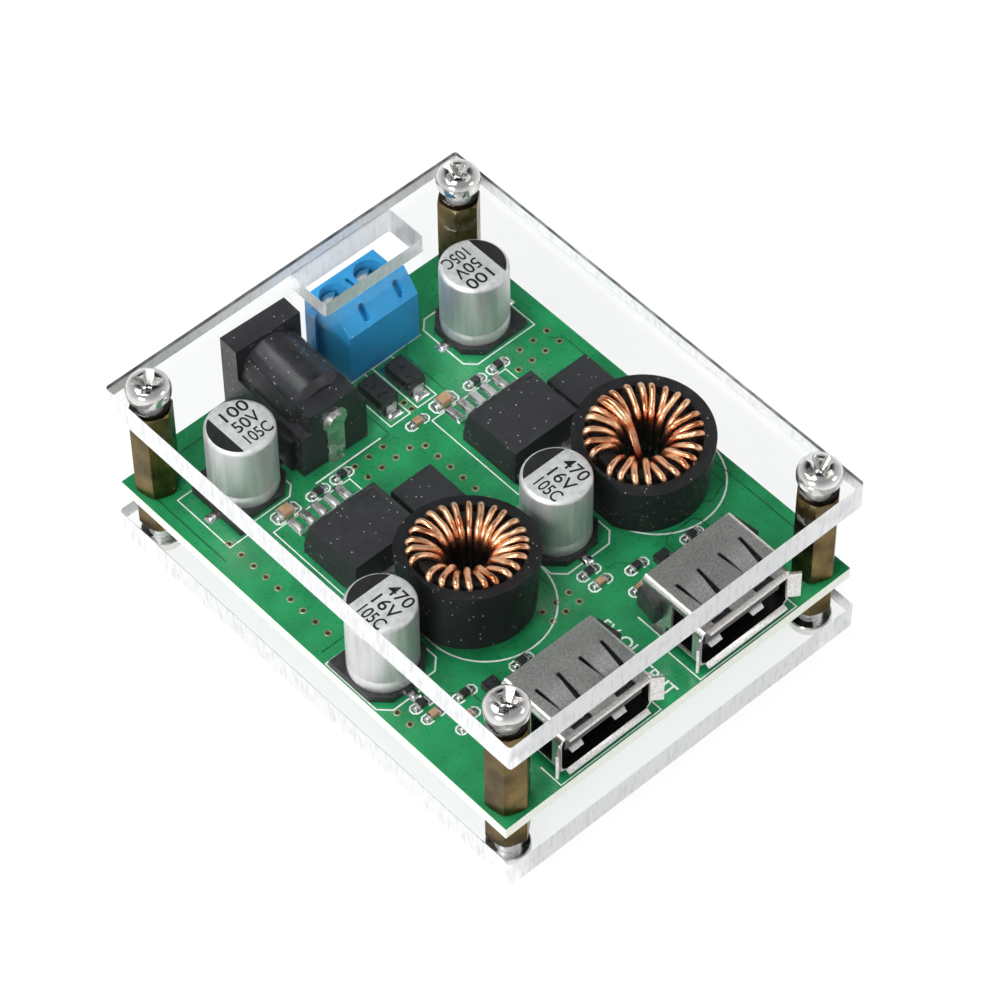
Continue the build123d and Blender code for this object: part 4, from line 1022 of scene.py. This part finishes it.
def floor_spring(bm, x, middle):
    """A spring strip that rises from the floor of the shell, near its mouth."""
    half = [1.1, 1.1, 1.1, 1.05, 1.0, 0.9, 0.8]
    rise = [-0.25, 0.1, 0.38, 0.5, 0.42, 0.1, -0.3]
    rows = []
    for level in (1.54, 1.30):
        for side in (-1, 1):
            rows.append([bm.verts.new(spot(x + middle + side * w, socket_front + 5.2 - 0.65 * i, level + r))
                         for i, (w, r) in enumerate(zip(half, rise))])
    sides = ((rows[0], rows[1]), (rows[1], rows[3]), (rows[3], rows[2]), (rows[2], rows[0]))
    for a, b in sides:
        for i in range(len(a) - 1):
            bm.faces.new((a[i], b[i], b[i + 1], a[i + 1]))
    for i in (0, -1):
        bm.faces.new([rows[k][i] for k in (0, 1, 3, 2)])


socket_x = {"left": 15.05, "right": 35.3}
for side, x in socket_x.items():
    shell = merged(side + "_usb_shell")
    paint_shade_inside(shell, x)
    bent_tongues(shell, x)
    for middle in spring_middles:
        floor_spring(shell, x, middle)
    bmesh.ops.recalc_face_normals(shell, faces=shell.faces)
    shell = finish_mesh(side + "_socket_shell", shell, shell_nickel, shade_painted_nickel)
    round_edges(shell, 0.06 * mm)
    on_the_module(shell, "tinned_metal", side + "_usb_shell")
    dressed(side + "_socket_insulator", side + "_usb_insulator", socket_black, "black_plastic", 0.12 * mm)
    dressed(side + "_socket_contacts", side + "_usb_contacts", gilt, "tinned_metal", 0.04 * mm)

# 12. Chip parts and solder: fired ceramic blocks with tinned ends, two small transistors,
# and the smooth mounds of solder that join every lead to its pad.
chip_black = moulded("resistor glaze", (0.012, 0.012, 0.014), (0.03, 0.03, 0.034), 0.3)
chip_brown = moulded("capacitor ceramic", (0.34, 0.19, 0.10), (0.50, 0.31, 0.18), 0.45)
dressed("chip_resistor_bodies", "chip_resistors", chip_black, "chip_black", 0.05 * mm)
dressed("chip_capacitor_bodies", "chip_capacitors", chip_brown, "chip_brown", 0.08 * mm)
dressed("chip_metal_ends", "chip_end_caps", tin, "tinned_metal", 0.06 * mm)
dressed("small_transistors", "transistor_bodies", gloss_compound, "epoxy_black", 0.08 * mm)
dressed("small_transistor_legs", "transistor_legs", tin, "tinned_metal", 0.03 * mm)


def at_both_ends(x, y, reach_x, reach_y, width, length, height):
    """Two mounds of solder, as far from a part's middle on either side."""
    return [(x + side * reach_x, y + side * reach_y, width, length, height) for side in (-1, 1)]


mound = bmesh.new()
bmesh.ops.create_grid(mound, x_segments=8, y_segments=8, size=0.5)
for v in mound.verts:
    fall = (1 - abs(2 * v.co.x) ** 3) * (1 - abs(2 * v.co.y) ** 3)
    v.co.z = fall ** 0.7 if fall > 0 else 0.0
mound = finish_mesh("mound", mound)
round_edges(mound, 0)
regulator_x = (12.8, 36.0)
lead_pitch = 1.7
power_diode_away = 9.1
input_diode_x = (27.68, 31.68)
mounds = []
for x in regulator_x:
    mounds += [(x + lead_pitch * (i - 2), 44.15, 1.15, 2.7, 0.34) for i in range(5)]
    mounds.append((x, 31.75, 10.0, 1.3, 0.3))
    mounds += at_both_ends(x + power_diode_away, 36.1, 0, 3.75, 3.5, 1.5, 0.3)
for _, (x, y), heading, _ in capacitors:
    width, length = (1.9, 1.3) if heading in (0, pi) else (1.3, 1.9)
    mounds += at_both_ends(x, y, 4.65 * cos(heading), 4.65 * sin(heading), width, length, 0.34)
for x in input_diode_x:
    mounds += at_both_ends(x, 51.45, 0, 2.45, 2.1, 1.6, 0.34)
for x, y in chip_spots:
    mounds += at_both_ends(x, y, 0.85, 0, 0.75, 0.9, 0.3)
for x, y in large_chip_spots:
    mounds += at_both_ends(x, y, 1.1, 0, 0.9, 1.3, 0.36)
solder = bright_nickel("solder", (0.62, 0.62, 0.61), 0.14, 0.3, 1600)
places = [(spot(x, y, 0.005), upright, (width * mm, length * mm, height * mm))
          for x, y, width, length, height in mounds]
set_out("solder_joints", mound, places, solder, "tinned_metal")
bpy.data.objects.remove(mound)

# 13. Upper standoffs, top plate and its screws: long hexagonal posts, a clear plate with
# a slot over the terminal screws, and the same plated screws as below.
dressed("upper_standoff_posts", "upper_standoffs", brass, "nickel_brass", 0.08 * mm)
plate_top = 27.0
# Above this height, the top plate's right and back edges carry the painted shade line.
acrylic_sheet("clear_top_plate", "top_plate", plate_top - 1.1)
upper_screw = screw_master(7.8)
places = [(Vector((x, y, plate_top)) * mm, (0, 0, 0.35 + 0.02 * x + 0.03 * y), full_size)
          for x, y in corners]
set_out("top_plate_screws", upper_screw, places, screw_nickel, "nickel_steel", "top_screws")
bpy.data.objects.remove(upper_screw)
